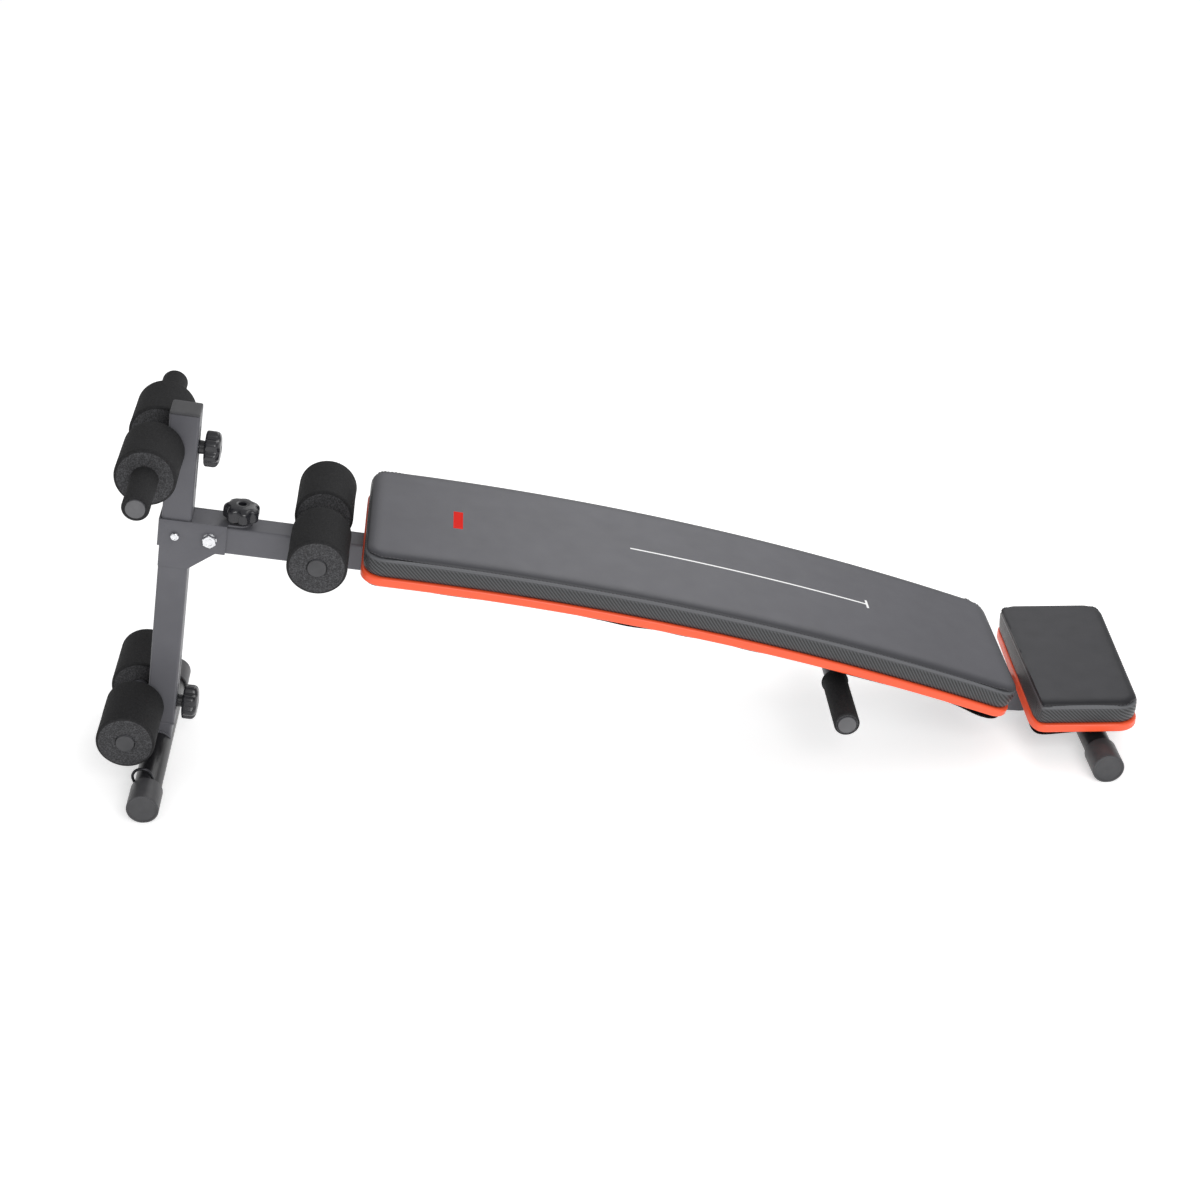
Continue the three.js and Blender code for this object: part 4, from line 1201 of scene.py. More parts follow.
@dataclass
class MainRail(SquareTube):
    """The rail: the same tube carried along the rail's line, with a rounded front end."""

    overhang: float = 0.013
    hinge_hole: float = 0.0078
    lock_hole: float = 0.0056
    lock_slot: float = 0.003
    lock_depth: float = 0.02
    stations: int = 90

    def build(self, shop: Workshop, line: RailLine) -> None:
        """Makes the rail and its end cap.

        The skin is a closed loop for each point of the section: outside from front to rear, then
        inside and back. Its front end lies on a circle round the hinge.

        Args:
            shop: the workshop.
            line: the rail's line.
        """
        end = line.foot + self.overhang
        share = np.linspace(0.0, 1.0, self.stations)
        walls = []
        for inset, order in ((0.0, 1), (self.wall, -1)):
            section = self.loop(inset)
            front = -np.sqrt(np.maximum(self.half ** 2 - section[:, 1] ** 2, 0.0))
            along = front[None, :] * (1 - share[:, None]) + end * share[:, None]
            x, z = line.at(along, np.broadcast_to(section[:, 1], along.shape))
            y = np.broadcast_to(section[:, 0], along.shape)
            walls.append(np.stack([x, y, z], -1)[::order])
        points = np.concatenate(walls)
        faces = grid_faces(len(points), points.shape[1], True, True)
        rail = Piece("rail_tube", points, faces, finishes=[FRAME_COAT]).build()
        carve(rail, self._tools(shop, line))
        shop.set_down(weigh_normals(rail), Body.FRAME, "powder_coat", "main_rail")
        shop.finish_node("rail_end_cap", "rail_end_plug", CAP_PLASTIC, 0.7, Body.FRAME, "grey_plastic")

    def _tools(self, shop: Workshop, line: RailLine) -> list[bpy.types.Object]:
        """What cuts the notch for the rear foot tube, the hinge's hole and the locking stud's slot.

        Args:
            shop: the workshop.
            line: the rail's line.

        Returns:
            The tools.
        """
        tools = [
            cutting_rod("foot_notch", shop.middle("rear_foot_tube"), NOTCH_RADIUS, UPWARD),
            cutting_rod("hinge_hole", line.hinge, self.hinge_hole, UPWARD),
        ]
        knob = np.array(shop.joint("fold_knob_spin")["pos_m"])
        at_hinge = line.axes(0.0)
        reach = float(np.dot(knob - at_hinge.origin, at_hinge.x))
        low = self.half - self.lock_depth / 2.0
        centre = at_hinge.put(np.array([reach - self.lock_slot / 2.0, 0.0, low]))
        place = Axes(centre, at_hinge.x, at_hinge.y, at_hinge.z)
        hole = self.lock_hole
        points, faces = stepped_in(np.array([[0.0, 0.0], [0.0, self.lock_depth]]), hole + self.lock_slot / 2.0,
                                   hole, hole * 0.999, place, steps=8)
        tools.append(Piece("lock_slot", points, faces).build())
        return tools


# --------------------------------------------------------------------------- round pieces across the bench
@dataclass
class RoundBars:
    """The foot tubes and the cross bars, with everything that turns or sits on them."""

    wall: float = 0.0015
    foot_wall: float = 0.002
    roller_radius: float = 0.0402
    roller_edge: float = 0.009
    grip_radius: float = 0.0177
    cap_radius: float = 0.0222
    cap_rim: float = 0.0028
    cap_rim_height: float = 0.0012
    cap_floor: float = 0.003
    plug_head: float = 0.0026
    bar_radius: float = 0.0125
    foot_radius: float = 0.019
    foam_sides: int = 96
    roller_bore: float = 0.0131
    grip_bore: float = 0.0128

    def build(self, shop: Workshop) -> None:
        """Makes every tube, cap, plug, grip and roller.

        Args:
            shop: the workshop.
        """
        tubes = (
            ("front_foot_tube", Body.STAND, self.foot_radius, self.foot_wall, FOOT_COAT),
            ("rear_foot_tube", Body.FRAME, self.foot_radius, self.foot_wall, FOOT_COAT),
            ("knee_bar", Body.FRAME, self.bar_radius, self.wall, FRAME_COAT),
            ("handle_bar", Body.FRAME, self.bar_radius, self.wall, FRAME_COAT),
            ("upper_bar", Body.UPPER_BAR, self.bar_radius, self.wall, FRAME_COAT),
            ("lower_bar", Body.LOWER_BAR, self.bar_radius, self.wall, FRAME_COAT),
        )
        for node, body, radius, wall, finish in tubes:
            self._tube(shop, node, body, radius, wall, finish)
        for side, sign in SIDES:
            for end, body in (("front", Body.STAND), ("rear", Body.FRAME)):
                self._foot_cap(shop, f"{end}_foot_cap_{side}", body, sign)
            for bar, body in (("upper", Body.UPPER_BAR), ("lower", Body.LOWER_BAR),
                              ("knee", Body.FRAME), ("handle", Body.FRAME)):
                finish = GRIP_PLUG if bar in ("upper", "handle") else ROLLER_PLUG
                self._plug(shop, f"{bar}_plug_{side}", body, sign, finish)
            for row in ("upper", "lower", "knee"):
                self._roller(shop, f"{row}_roller_{side}", sign)
            self._grip(shop, f"upper_grip_{side}", Body.UPPER_BAR, sign, 0.0)
            self._grip(shop, f"handle_grip_{side}", Body.FRAME, sign, 0.019)

    def _span(self, shop: Workshop, node: str, sign: float) -> tuple[float, float]:
        """Where a node begins and ends across the bench, counted outwards on one side.

        Args:
            shop: the workshop.
            node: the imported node.
            sign: -1 near, 1 far.

        Returns:
            The inner and the outer end.
        """
        low, high = shop.low_high(node)
        ends = sorted((low[1] * sign, high[1] * sign))
        return float(ends[0]), float(ends[1])

    def _tube(self, shop: Workshop, node: str, body: Body, radius: float, wall: float, finish: Finish) -> None:
        """An open tube with eased ends.

        Args:
            shop: the workshop.
            node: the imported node.
            body: what it rides on.
            radius: its radius.
            wall: its wall.
            finish: its finish.
        """
        start, end = self._span(shop, node, 1.0)
        profile = filleted([[radius, start], [radius, end], [radius - wall, end], [radius - wall, start]],
                           0.0005, 2, closed=True)
        shape = turned(profile, shop.across_axes(node, 1.0), 64, closed=True)
        shop.make(f"{node}_steel", shape, finish, body, "powder_coat", node)

    def _foot_cap(self, shop: Workshop, node: str, body: Body, sign: float) -> None:
        """A sleeve closed at its outer end, with a raised rim, and cut flat where it stands.

        Args:
            shop: the workshop.
            node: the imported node.
            body: what it rides on.
            sign: -1 near, 1 far.
        """
        start, end = self._span(shop, node, sign)
        place = shop.across_axes(node.replace("cap_near", "tube").replace("cap_far", "tube"), sign)
        outer, inner = self.cap_radius, self.foot_radius + CLEARANCE
        face, floor, rim = end - self.cap_rim_height, end - self.cap_floor, outer - self.cap_rim
        profile = filleted([
            [0.0, face], [rim - 0.0004, face], [rim, end], [outer, end],
            [outer, start], [inner, start], [inner, floor], [0.0, floor],
        ], [0, 0.0006, 0.0006, 0.0012, 0.001, 0.0005, 0.0005, 0], 4)
        points, faces = turned(profile, place, 72)
        points[..., 2] = np.maximum(points[..., 2], 0.0)
        shop.make(f"{node}_sleeve", (points, faces), CAP_PLASTIC, body, "grey_plastic", node)

    def _plug(self, shop: Workshop, node: str, body: Body, sign: float, finish: Finish) -> None:
        """A domed plug with a barbed stem, pressed into a bar's end.

        Args:
            shop: the workshop.
            node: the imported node.
            body: what it rides on.
            sign: -1 near, 1 far.
            finish: its finish.
        """
        start, end = self._span(shop, node, sign)
        head = self.bar_radius
        stem = head - self.wall - CLEARANCE
        lip = end - self.plug_head
        profile = filleted([
            [0.0, end], [head * 0.55, end - 0.0001], [head, end - 0.0009], [head, lip], [stem, lip],
            [stem, start], [0.0, start],
        ], [0, 0.002, 0.0012, 0.0003, 0.0003, 0.001, 0], 4)
        shape = turned(profile, shop.across_axes(node, sign), 48)
        shop.make(f"{node}_moulding", shape, finish, body, "grey_plastic", node)

    def _foam(self, name: str, profile: Array, place: Axes, cut_from: float, cut_to: float,
              unevenness: float) -> bpy.types.Object:
        """Foam turned about its bar: its radius wanders by slow waves round and along it.

        Args:
            name: the piece's name.
            profile: pairs for the outline, as `turned` takes them.
            place: where it stands.
            cut_from: below this height the face is cut foam.
            cut_to: above this height it is cut foam.
            unevenness: how far the skin wanders.

        Returns:
            The foam piece.
        """
        def wander(angle: Array, radius: Array, height: Array) -> tuple[Array, Array]:
            """Waves that are nothing at the bore and fullest at the skin."""
            wave = np.sin(3 * angle + 90 * height) + 0.6 * np.sin(5 * angle - 140 * height + 1.3)
            share = np.clip((radius - 0.015) / 0.02, 0.0, 1.0)
            return radius + unevenness * share * wave, height

        points, faces = turned(profile, place, self.foam_sides, closed=True, change=wander)
        radius = np.repeat(profile[:, 0], self.foam_sides)
        height = np.repeat(profile[:, 1], self.foam_sides)
        middle = height[faces].mean(1)
        deep = radius[faces].mean(1)
        at_end = (middle < cut_from) | (middle > cut_to)
        cut = at_end & (deep < profile[:, 0].max() - 0.0035)
        return Piece(name, points, faces, finishes=[FOAM_SKIN, FOAM_CUT], finish_of_face=cut.astype(int)).build()

    def _roller(self, shop: Workshop, node: str, sign: float) -> None:
        """A foam roller with round edges and a very slightly waisted skin.

        Args:
            shop: the workshop.
            node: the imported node.
            sign: -1 near, 1 far.
        """
        start, end = self._span(shop, node, sign)
        outer, bore, edge = self.roller_radius, self.roller_bore, self.roller_edge
        corners = [
            [bore, start], [bore + 0.004, start + 0.0002], [outer - 0.010, start], [outer, start],
            [outer - 0.0004, (start + end) / 2], [outer, end], [outer - 0.010, end],
            [bore + 0.004, end - 0.0002], [bore, end],
        ]
        profile = filleted(corners, [0.0015, 0.001, 0.001, edge, 0.02, edge, 0.001, 0.001, 0.0015], 8, closed=True)
        roller = self._foam(f"{node}_foam", profile, shop.across_axes(node, sign), start + 0.003, end - 0.003, 0.00012)
        shop.set_down(roller, node, "foam", node, fill=1.0)

    def _grip(self, shop: Workshop, node: str, body: Body, sign: float, flange: float) -> None:
        """A foam grip, with a flange at its inner end where one is asked for.

        Args:
            shop: the workshop.
            node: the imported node.
            body: what it rides on.
            sign: -1 near, 1 far.
            flange: the flange's radius, or 0.
        """
        start, end = self._span(shop, node, sign)
        outer, bore = self.grip_radius, self.grip_bore
        inner = [[bore, start], [flange or outer, start]]
        reach = [0.0006, 0.002]
        if flange:
            inner += [[flange, start + 0.004], [outer - 0.0002, start + 0.0045]]
            reach += [0.0015, 0.001]
        profile = filleted([*inner, [outer, end], [bore, end]], [*reach, 0.0042, 0.0008], 6, closed=True)
        grip = self._foam(f"{node}_foam", profile, shop.across_axes(node, sign), start + 0.001, end - 0.003, 0.00008)
        shop.set_down(grip, body, "foam", node, fill=1.0)


# --------------------------------------------------------------------------- knobs, bolts and small steel
@dataclass
class Hardware:
    """Knobs, bolts, nuts, the cord eyes, the saddles and the weld beads."""

    lobes: int = 7
    knob_radius: float = 0.025
    knob_hub: float = 0.0095
    knob_height: float = 0.022
    groove: float = 0.0042
    clamp_hub: float = 0.0075
    clamp_bore: float = 0.0056
    lock_hub: float = 0.0045
    lock_bore: float = 0.0055
    lock_recess: float = 0.010
    bolt_radius: float = 0.005
    thread_pitch: float = 0.001
    bar_seat: float = 0.0128
    bush_outer: float = 0.0075
    bush_bore: float = 0.0053
    bush_half: float = 0.02
    edge_mm: float = 0.7
    strap_edge_mm: float = 0.8
    washer: float = 0.0012

    def build(self, shop: Workshop, line: RailLine) -> None:
        """Makes every small piece of hardware.

        Args:
            shop: the workshop.
            line: the rail's line.
        """
        up, back = shop.stand_axes()
        clamps = (("upper", Body.UPPER_BAR, Body.UPPER_CLAMP), ("lower", Body.LOWER_BAR, Body.LOWER_CLAMP))
        for name, bar, clamp in clamps:
            place = axes_along(shop.joint(f"{name}_knob_spin")["pos_m"], back)
            knob = self._knob(f"{name}_star_knob", place, self.clamp_hub, self.clamp_bore, None)
            shop.set_down(knob, clamp, "black_plastic", f"{name}_knob")
            self._clamp_bolt(shop, name, bar, place)
            shop.finish_node(f"{name}_saddle", f"{name}_saddle_moulding", KNOB_PLASTIC, self.strap_edge_mm, bar,
                             "black_plastic")
        self._lock(shop, axes_along(shop.joint("fold_knob_spin")["pos_m"], up))
        shop.finish_node("fold_bracket", "fold_bracket_plate", FRAME_COAT, self.edge_mm, Body.STAND, "powder_coat")
        self._cross_bolt(shop, "hinge", 0.0085, 0.005, washer=0.0098)
        self._cross_bolt(shop, "bracket", 0.005, 0.003, washer=0.0)
        outer, bore, half = self.bush_outer, self.bush_bore, self.bush_half
        sleeve = filleted([[outer, -half], [outer, half], [bore, half], [bore, -half]], 0.0004, 2, closed=True)
        shape = turned(sleeve, axes_along(line.hinge, ACROSS, UPWARD), 48, closed=True)
        shop.make("hinge_bush_sleeve", shape, ZINC, Body.FRAME, "zinc_steel", "hinge_bush")
        self._eyes(shop)
        self._welds(shop, line)
        for node in ("main_pad_front", "main_pad_rear", "head_pad"):
            shop.finish_node(f"{node}_bracket", f"{node}_strap", FRAME_COAT, self.strap_edge_mm, Body.FRAME,
                             "powder_coat")
            for side, _ in SIDES:
                screw = shop.frame["nodes"][f"{node}_screw_{side}"].data
                screw.materials.clear()
                screw.materials.append(ZINC.material())

    def _lock(self, shop: Workshop, place: Axes) -> None:
        """The locking knob, and the stud that it draws out of the rail.

        Args:
            shop: the workshop.
            place: the knob's axes.
        """
        knob = self._knob("lock_star_knob", place, self.lock_hub, self.lock_bore, self.lock_recess)
        shop.set_down(knob, Body.LOCK, "black_plastic", "fold_knob")
        stud = filleted([[0.0, -0.0076], [0.0048, -0.0076], [0.005, 0.001], [0.0, 0.001]], [0, 0.0012, 0.0003, 0], 3)
        shop.make("lock_stud", turned(stud, place, 32), ZINC, Body.LOCK, "zinc_steel")

    def _knob(self, name: str, place: Axes, hub: float, bore: float, recess: float | None) -> bpy.types.Object:
        """A star knob: the rim is drawn in at each of its grooves, more in the middle of its height.

        With r the profile's radius, the drawn-in radius is r less the groove's depth times
        (half plus half cos of lobes times the angle) squared, only where r is near the rim.

        Args:
            name: the piece's name.
            place: where it stands.
            hub: the hub's height.
            bore: the bore's radius.
            recess: a blind bore's depth, or None if it goes through.

        Returns:
            The knob.
        """
        top = hub + self.knob_height
        rim, hub_radius = self.knob_radius, self.knob_hub
        outside = [
            [hub_radius, 0.0], [hub_radius - 0.0005, hub], [rim - 0.004, hub + 0.0002], [rim, hub + 0.002],
            [rim, top - 0.0055], [rim - 0.006, top - 0.0012], [bore + 0.0035, top], [bore, top - 0.0006],
        ]
        reach = [0.001, 0.001, 0.002, 0.002, 0.005, 0.004, 0.001, 0.0006]
        if recess is None:
            profile = filleted([*outside, [bore, 0.0]], [*reach, 0.0005], 6, closed=True)
        else:
            ends = [[0.0, 0.0], *outside, [bore, top - recess], [0.0, top - recess]]
            profile = filleted(ends, [0, *reach, 0.0005, 0], 6)

        def flute(angle: Array, radius: Array, height: Array) -> tuple[Array, Array]:
            """Draws the rim in."""
            near_rim = np.clip((radius - 0.0135) / (rim - 0.0135), 0.0, 1.0) ** 1.5
            depth = self.groove * (0.5 + 0.5 * np.cos(self.lobes * angle)) ** 1.6
            return radius - depth * near_rim, height

        points, faces = turned(profile, place, self.lobes * 24, closed=recess is None, change=flute)
        return Piece(name, points, faces, finishes=[KNOB_PLASTIC], sharp=math.radians(50)).build()

    def _clamp_bolt(self, shop: Workshop, name: str, body: Body, place: Axes) -> None:
        """A round-headed bolt through the bar, the saddle and the post, with a turned thread.

        Args:
            shop: the workshop.
            name: which bar's bolt.
            body: what it rides on.
            place: its axes.
        """
        bar = shop.middle(f"{name}_bar")
        head = float(np.dot(bar - place.origin, place.z)) - self.bar_seat
        end = self.clamp_hub + self.knob_height - 0.008
        half_pitch = self.thread_pitch / 2.0
        thread = np.arange(0.0, end + self.thread_pitch, half_pitch)
        ridges = np.stack([self.bolt_radius - half_pitch * (np.arange(len(thread)) % 2), thread], -1)
        start = filleted([[0.0, head - 0.005], [0.005, head - 0.0048], [0.010, head], [0.005, head]],
                         [0, 0.003, 0.001, 0], 5)
        profile = np.vstack([start, ridges, [[0.0042, end + 0.0005], [0.0, end + 0.0005]]])
        shop.make(f"{name}_carriage_bolt", turned(profile, place, 40), ZINC, body, "zinc_steel", f"{name}_bolt")

    def _cross_bolt(self, shop: Workshop, name: str, flats: float, shank: float, washer: float) -> None:
        """A bolt across the bench, and its nut on the far side.

        With a washer its head is a hexagon; without one it is round.

        Args:
            shop: the workshop.
            name: which bolt.
            flats: half the distance across the flats.
            shank: the shank's radius.
            washer: the washer's radius, or 0 for a round head.
        """
        low, high = shop.low_high(f"{name}_bolt")
        nut_low, nut_high = shop.low_high(f"{name}_nut")
        centre = shop.middle(f"{name}_bolt")
        centre[1] = 0.0
        near = axes_along(centre, (0.0, -1.0, 0.0), UPWARD)
        far = axes_along(centre, ACROSS, UPWARD)
        seat = float(nut_low[1])
        corner = flats / math.cos(math.pi / 6)
        top = -float(low[1])
        pad = self.washer if washer else 0.0
        head = filleted([
            [0.0, top - 0.0004], [flats * 0.55, top - 0.0004], [flats * 0.62, top], [flats * 0.94, top],
            [corner, top - 0.0011], [corner, seat + pad],
        ], [0, 0.0006, 0.0004, 0.0004, 0.0002, 0], 3)
        ring = [[washer, seat + pad], [washer, seat]] if washer else [[corner, seat]]
        body = np.vstack([head, ring, [[shank, seat], [shank, -float(high[1])], [0.0, -float(high[1])]]])
        shape = turned(body, near, 72, change=self._hexagon(flats, seat + pad) if washer else None)
        sharp = math.radians(25)
        shop.make(f"{name}_hex_bolt", shape, ZINC, Body.STAND, "zinc_steel", f"{name}_bolt", sharp=sharp)
        outer = float(nut_high[1])
        bore = shank + CLEARANCE
        profile = filleted([
            [bore, seat], [corner, seat], [corner, outer - 0.001], [flats * 0.94, outer], [bore, outer],
        ], 0.0002, 2, closed=True)
        shape = turned(profile, far, 72, closed=True, change=self._hexagon(flats, -1.0))
        shop.make(f"{name}_hex_nut", shape, ZINC, Body.STAND, "zinc_steel", f"{name}_nut", sharp=sharp)

    def _hexagon(self, flats: float, floor: float) -> Callable[[Array, Array, Array], tuple[Array, Array]]:
        """Cuts six flats over a height, so that a washer under the head stays round.

        No radius passes the flat's distance over the cosine of the angle from the flat's middle.

        Args:
            flats: half the distance across the flats.
            floor: where the flats begin.

        Returns:
            The function for `turned`.
        """
        def cut(angle: Array, radius: Array, height: Array) -> tuple[Array, Array]:
            """Draws each corner in to its flat."""
            turn = (angle + math.pi / 6) % (math.pi / 3) - math.pi / 6
            limit = flats / np.cos(turn)
            return np.where(height >= floor - 1e-6, np.minimum(radius, limit), radius), height
        return cut

    def _eyes(self, shop: Workshop) -> None:
        """Wire eyes: a straight leg, a half circle and a straight leg, on the front foot tube.

        Args:
            shop: the workshop.
        """
        wire, ring, leg, lift = 0.002, 0.013, 0.0095, 0.0205
        foot = shop.middle("front_foot_tube")
        for side, _ in SIDES:
            centre = shop.middle(f"cord_eye_{side}")
            lean = centre - foot
            lean[1] = 0.0
            place = axes_along((foot[0], centre[1], foot[2]), lean)
            angle = np.linspace(math.pi, 0.0, 33)
            arc = np.stack([ring * np.cos(angle), np.zeros(33), lift + ring * np.sin(angle)], -1)
            legs = np.array([[-ring, 0.0, lift - leg], [-ring, 0.0, lift - leg / 2]])
            path = place.put(np.vstack([legs, arc, legs[::-1] * [-1, 1, 1]]))
            shape = swept(path, np.full(len(path), wire), ACROSS, 14)
            shop.make(f"cord_eye_{side}_wire", shape, DARK_WIRE, Body.STAND, "dark_steel", f"cord_eye_{side}")

    def _bead(self, shop: Workshop, name: str, path: Array, body: Body, across: Sequence[float],
              radius: float = 0.0021) -> None:
        """A weld bead: its radius ripples every 2.4 mm and dies away at both ends.

        Args:
            shop: the workshop.
            name: the piece's name.
            path: its middle line.
            body: what it rides on.
            across: a direction square to the path.
            radius: its radius.
        """
        run = np.concatenate([[0.0], np.cumsum(np.linalg.norm(np.diff(path, axis=0), axis=1))])
        fade = np.minimum(run, run[-1] - run) / (2 * radius)
        size = radius * (1 + 0.14 * np.sin(run / 0.0024 * TAU)) * np.sqrt(np.clip(fade, 0.03, 1.0))
        shop.make(name, swept(path, size, across, 10), FRAME_COAT, body, "powder_coat")

    def _welds(self, shop: Workshop, line: RailLine) -> None:
        """Beads round both foot tubes, and along each side of the knee bar and the hand bar.

        Args:
            shop: the workshop.
            line: the rail's line.
        """
        up, back = shop.stand_axes()
        front, rear = shop.middle("front_foot_tube"), shop.middle("rear_foot_tube")
        radius = 0.0195
        for side, sign in SIDES:
            for name, foot, x, z, body, start, stop, seam in (
                ("front", front, back, up, Body.STAND, 0.5, math.pi - 0.5, 0.0175),
                ("rear", rear, np.array((1.0, 0.0, 0.0)), np.array(UPWARD), Body.FRAME, -0.1, math.pi + 0.1, 0.0205),
            ):
                angle = np.linspace(start, stop, 120)[:, None]
                path = foot + radius * (np.cos(angle) * x + np.sin(angle) * z)
                path[:, 1] = sign * seam
                self._bead(shop, f"{name}_foot_weld_{side}", path, body, ACROSS)
        for name, node, way in (("knee", "knee_bar", -1.0), ("handle", "handle_bar", 1.0)):
            centre = shop.middle(node)
            stations = np.linspace(0, line.arch_end, 900)
            apart = np.array(line.at(stations, 0.0)).T - centre[[0, 2]]
            place = line.axes(float(stations[np.argmin((apart ** 2).sum(1))]))
            for end, offset in (("front", -0.0072), ("rear", 0.0072)):
                y = np.linspace(-0.0185, 0.0185, 90)
                local = np.stack([np.full(90, offset), y, np.full(90, -way * 0.0208)], -1)
                self._bead(shop, f"{name}_weld_{end}", place.put(local), Body.FRAME, tuple(place.x), 0.0024)


# --------------------------------------------------------------------------- pads
@dataclass
class Pad:
    """A padded board: leather and twill cover over foam, an orange edge and black cloth beneath.

    It is made lying flat, at metres along, across and up, and is then laid along the rail. The
    cover goes down from the top's rim by steps: over the roll, into the seam, over the twill's fold
    and down the side. A step is a share of the roll outwards, a drop from the top, and how strong the
    painted seam shading is there: painted shade on the leather, painted highlight on the twill's fold.
    The drop is in metres in `roll_steps`, and a share of the side in `side_steps`. The seam is loop
    number `seam`, and a droop is a place as shares of the half sizes and a depth.
    """

    name: str
    start: float
    end: float
    leather: Finish
    skew: float = 0.0
    half_width: float = 0.1275
    corner: float = 0.028
    base: float = 0.0340
    top: float = 0.0676
    crown: float = 0.0030
    roll: float = 0.0120
    cell: float = 0.0085
    board_low: float = 0.0203
    rail_half: float = 0.026
    droops: tuple[tuple[float, float, float], ...] = ()
    roll_steps: tuple[tuple[float, float, float], ...] = (
        (0.30, 0.0004, 0.42), (0.57, 0.0015, 0.58), (0.77, 0.0032, 0.80), (0.83, 0.0050, 0.95),
        (0.70, 0.0064, 1.0), (0.84, 0.0068, 1.0), (0.99, 0.0088, 0.9), (0.95, 0.0103, 0.25), (1.01, 0.0130, 0.0),
    )
    side_steps: tuple[tuple[float, float, float], ...] = (
        (1.02, 0.50, 0.0), (1.00, 0.66, 0.0), (0.95, 0.80, 0.0), (0.88, 0.92, 0.0), (0.72, 1.0, 0.0),
    )
    seam: int = 5
    thread_pitch: float = 0.0052
    thread_length: float = 0.0036
    thread_radius: float = 0.00042
    strip_low: float = 0.0206
    strip_proud: float = 0.0020
    cloth_thickness: float = 0.0006
    cloth_sag: float = 0.0028

    def build(self, shop: Workshop, line: RailLine) -> None:
        """Makes the cover, its stitches, the edge strip and the cloth.

        Args:
            shop: the workshop.
            line: the rail's line.
        """
        self.line = line
        flat, faces, uv, finish_of_face, marks = self._cover()
        flat = self._puff(flat, faces, marks)
        # each point carries its strength of painted seam shade and highlight
        cover = Piece(f"{self.name}_cover", self._lay(flat), faces, uv=uv, painted_seam_shading=marks["painted_seam_shading"],
                      finishes=[self.leather, CARBON_STRIP], finish_of_face=finish_of_face,
                      sharp=math.radians(60)).build()
        shop.set_down(cover, Body.FRAME, "vinyl", f"{self.name}_cushion", fill=0.95)
        self._stitches(shop, flat, marks)
        self._edge_strip(shop)
        self._cloth(shop)

    @property
    def half_length(self) -> float:
        """Half the pad's length along the rail."""
        return (self.end - self.start) / 2.0

    def _lay(self, flat: Array) -> Array:
        """Turns the flat pad by its skew and lays it along the rail's line.

        Args:
            flat: the points lying flat.

        Returns:
            The laid points.
        """
        c, s = math.cos(self.skew), math.sin(self.skew)
        along = flat[..., 0] * c + flat[..., 1] * s + (self.start + self.end) / 2.0
        across = flat[..., 1] * c - flat[..., 0] * s
        x, z = self.line.at(along, flat[..., 2])
        return np.stack([x, across, z], -1)

    def _plan(self, inset: float) -> tuple[Array, int, int]:
        """A grid over the rounded rectangle.

        In each corner square the grid is drawn in to a quarter disc: with p and q from 0 to 1
        across the square, the point is (p sqrt(1 - q*q/2), q sqrt(1 - p*p/2)) times the radius.

        Args:
            inset: how far it is drawn in.

        Returns:
            The points, and how many there are each way.
        """
        half_x, half_y = self.half_length - inset, self.half_width - inset
        corner = self.corner - inset
        inner_x = np.linspace(-(half_x - corner), half_x - corner, int(2 * (half_x - corner) / self.cell) + 1)
        inner_y = np.linspace(-(half_y - corner), half_y - corner, int(2 * (half_y - corner) / self.cell) + 1)
        part = np.linspace(0.0, 1.0, 5)[1:]
        x = np.concatenate([-(half_x - corner) - part[::-1] * corner, inner_x, half_x - corner + part * corner])
        y = np.concatenate([-(half_y - corner) - part[::-1] * corner, inner_y, half_y - corner + part * corner])
        gx, gy = np.meshgrid(x, y, indexing="ij")
        p = np.clip(np.abs(gx) - (half_x - corner), 0, None) / corner
        q = np.clip(np.abs(gy) - (half_y - corner), 0, None) / corner
        px = np.minimum(np.abs(gx), half_x - corner) + corner * p * np.sqrt(1 - q * q / 2)
        py = np.minimum(np.abs(gy), half_y - corner) + corner * q * np.sqrt(1 - p * p / 2)
        return np.stack([np.sign(gx) * px, np.sign(gy) * py], -1), len(x), len(y)

    def _rim(self, columns: int, rows: int) -> Array:
        """The numbers of a grid's edge points, once round, anticlockwise."""
        number = np.arange(columns * rows).reshape(columns, rows)
        return np.concatenate([number[:-1, 0], number[-1, :-1], number[:0:-1, -1], number[0, :0:-1]])

    def _cover(self) -> tuple[Array, list, Array, Array, dict[str, Array]]:
        """The cover lying flat: a top grid, a rolled edge, a seam and a side that bulges a little.

        Returns:
            The points, the faces, each point's place in the cover's map, each face's finish, and
            the numbers or values of the points by name.
        """
        plan, columns, rows = self._plan(self.roll)
        grid = np.concatenate([plan, np.full((columns, rows, 1), self.top)], -1).reshape(-1, 3)
        rim = self._rim(columns, rows)
        edge = grid[rim]
        ring = np.roll(edge, -1, 0) - np.roll(edge, 1, 0)
        out = np.stack([ring[:, 1], -ring[:, 0]], -1)
        out /= np.linalg.norm(out, axis=1)[:, None]
        profile = np.array([*self.roll_steps, *self.side_steps])
        profile[len(self.roll_steps):, 1] *= self.top - self.base
        share, drop, shade_of_step = profile.T
        rings = np.broadcast_to(edge, (len(profile), *edge.shape)).copy()
        rings[:, :, :2] += out * share[:, None, None] * self.roll
        rings[:, :, 2] -= drop[:, None]
        points = np.concatenate([grid, rings.reshape(-1, 3)])
        count = len(rim)
        loops = np.vstack([rim, len(grid) + np.arange(len(profile) * count).reshape(-1, count)])
        below, above = loops[1:], loops[:-1]
        walls = np.stack([above, np.roll(above, -1, 1), np.roll(below, -1, 1), below], -1).reshape(-1, 4)
        top_faces = grid_faces(columns, rows, False, False)
        faces = [*top_faces.tolist(), *walls.tolist(), loops[-1].tolist()]
        side_faces = np.repeat(np.arange(len(profile)) >= self.seam, count)
        finish = np.concatenate([np.zeros(len(top_faces)), side_faces.astype(int), [1]])
        run = np.concatenate([[0.0], np.cumsum(np.linalg.norm(np.diff(edge[:, :2], axis=0), axis=1))])
        leather = np.concatenate([np.arange(len(grid)), loops[1:self.seam].ravel()])
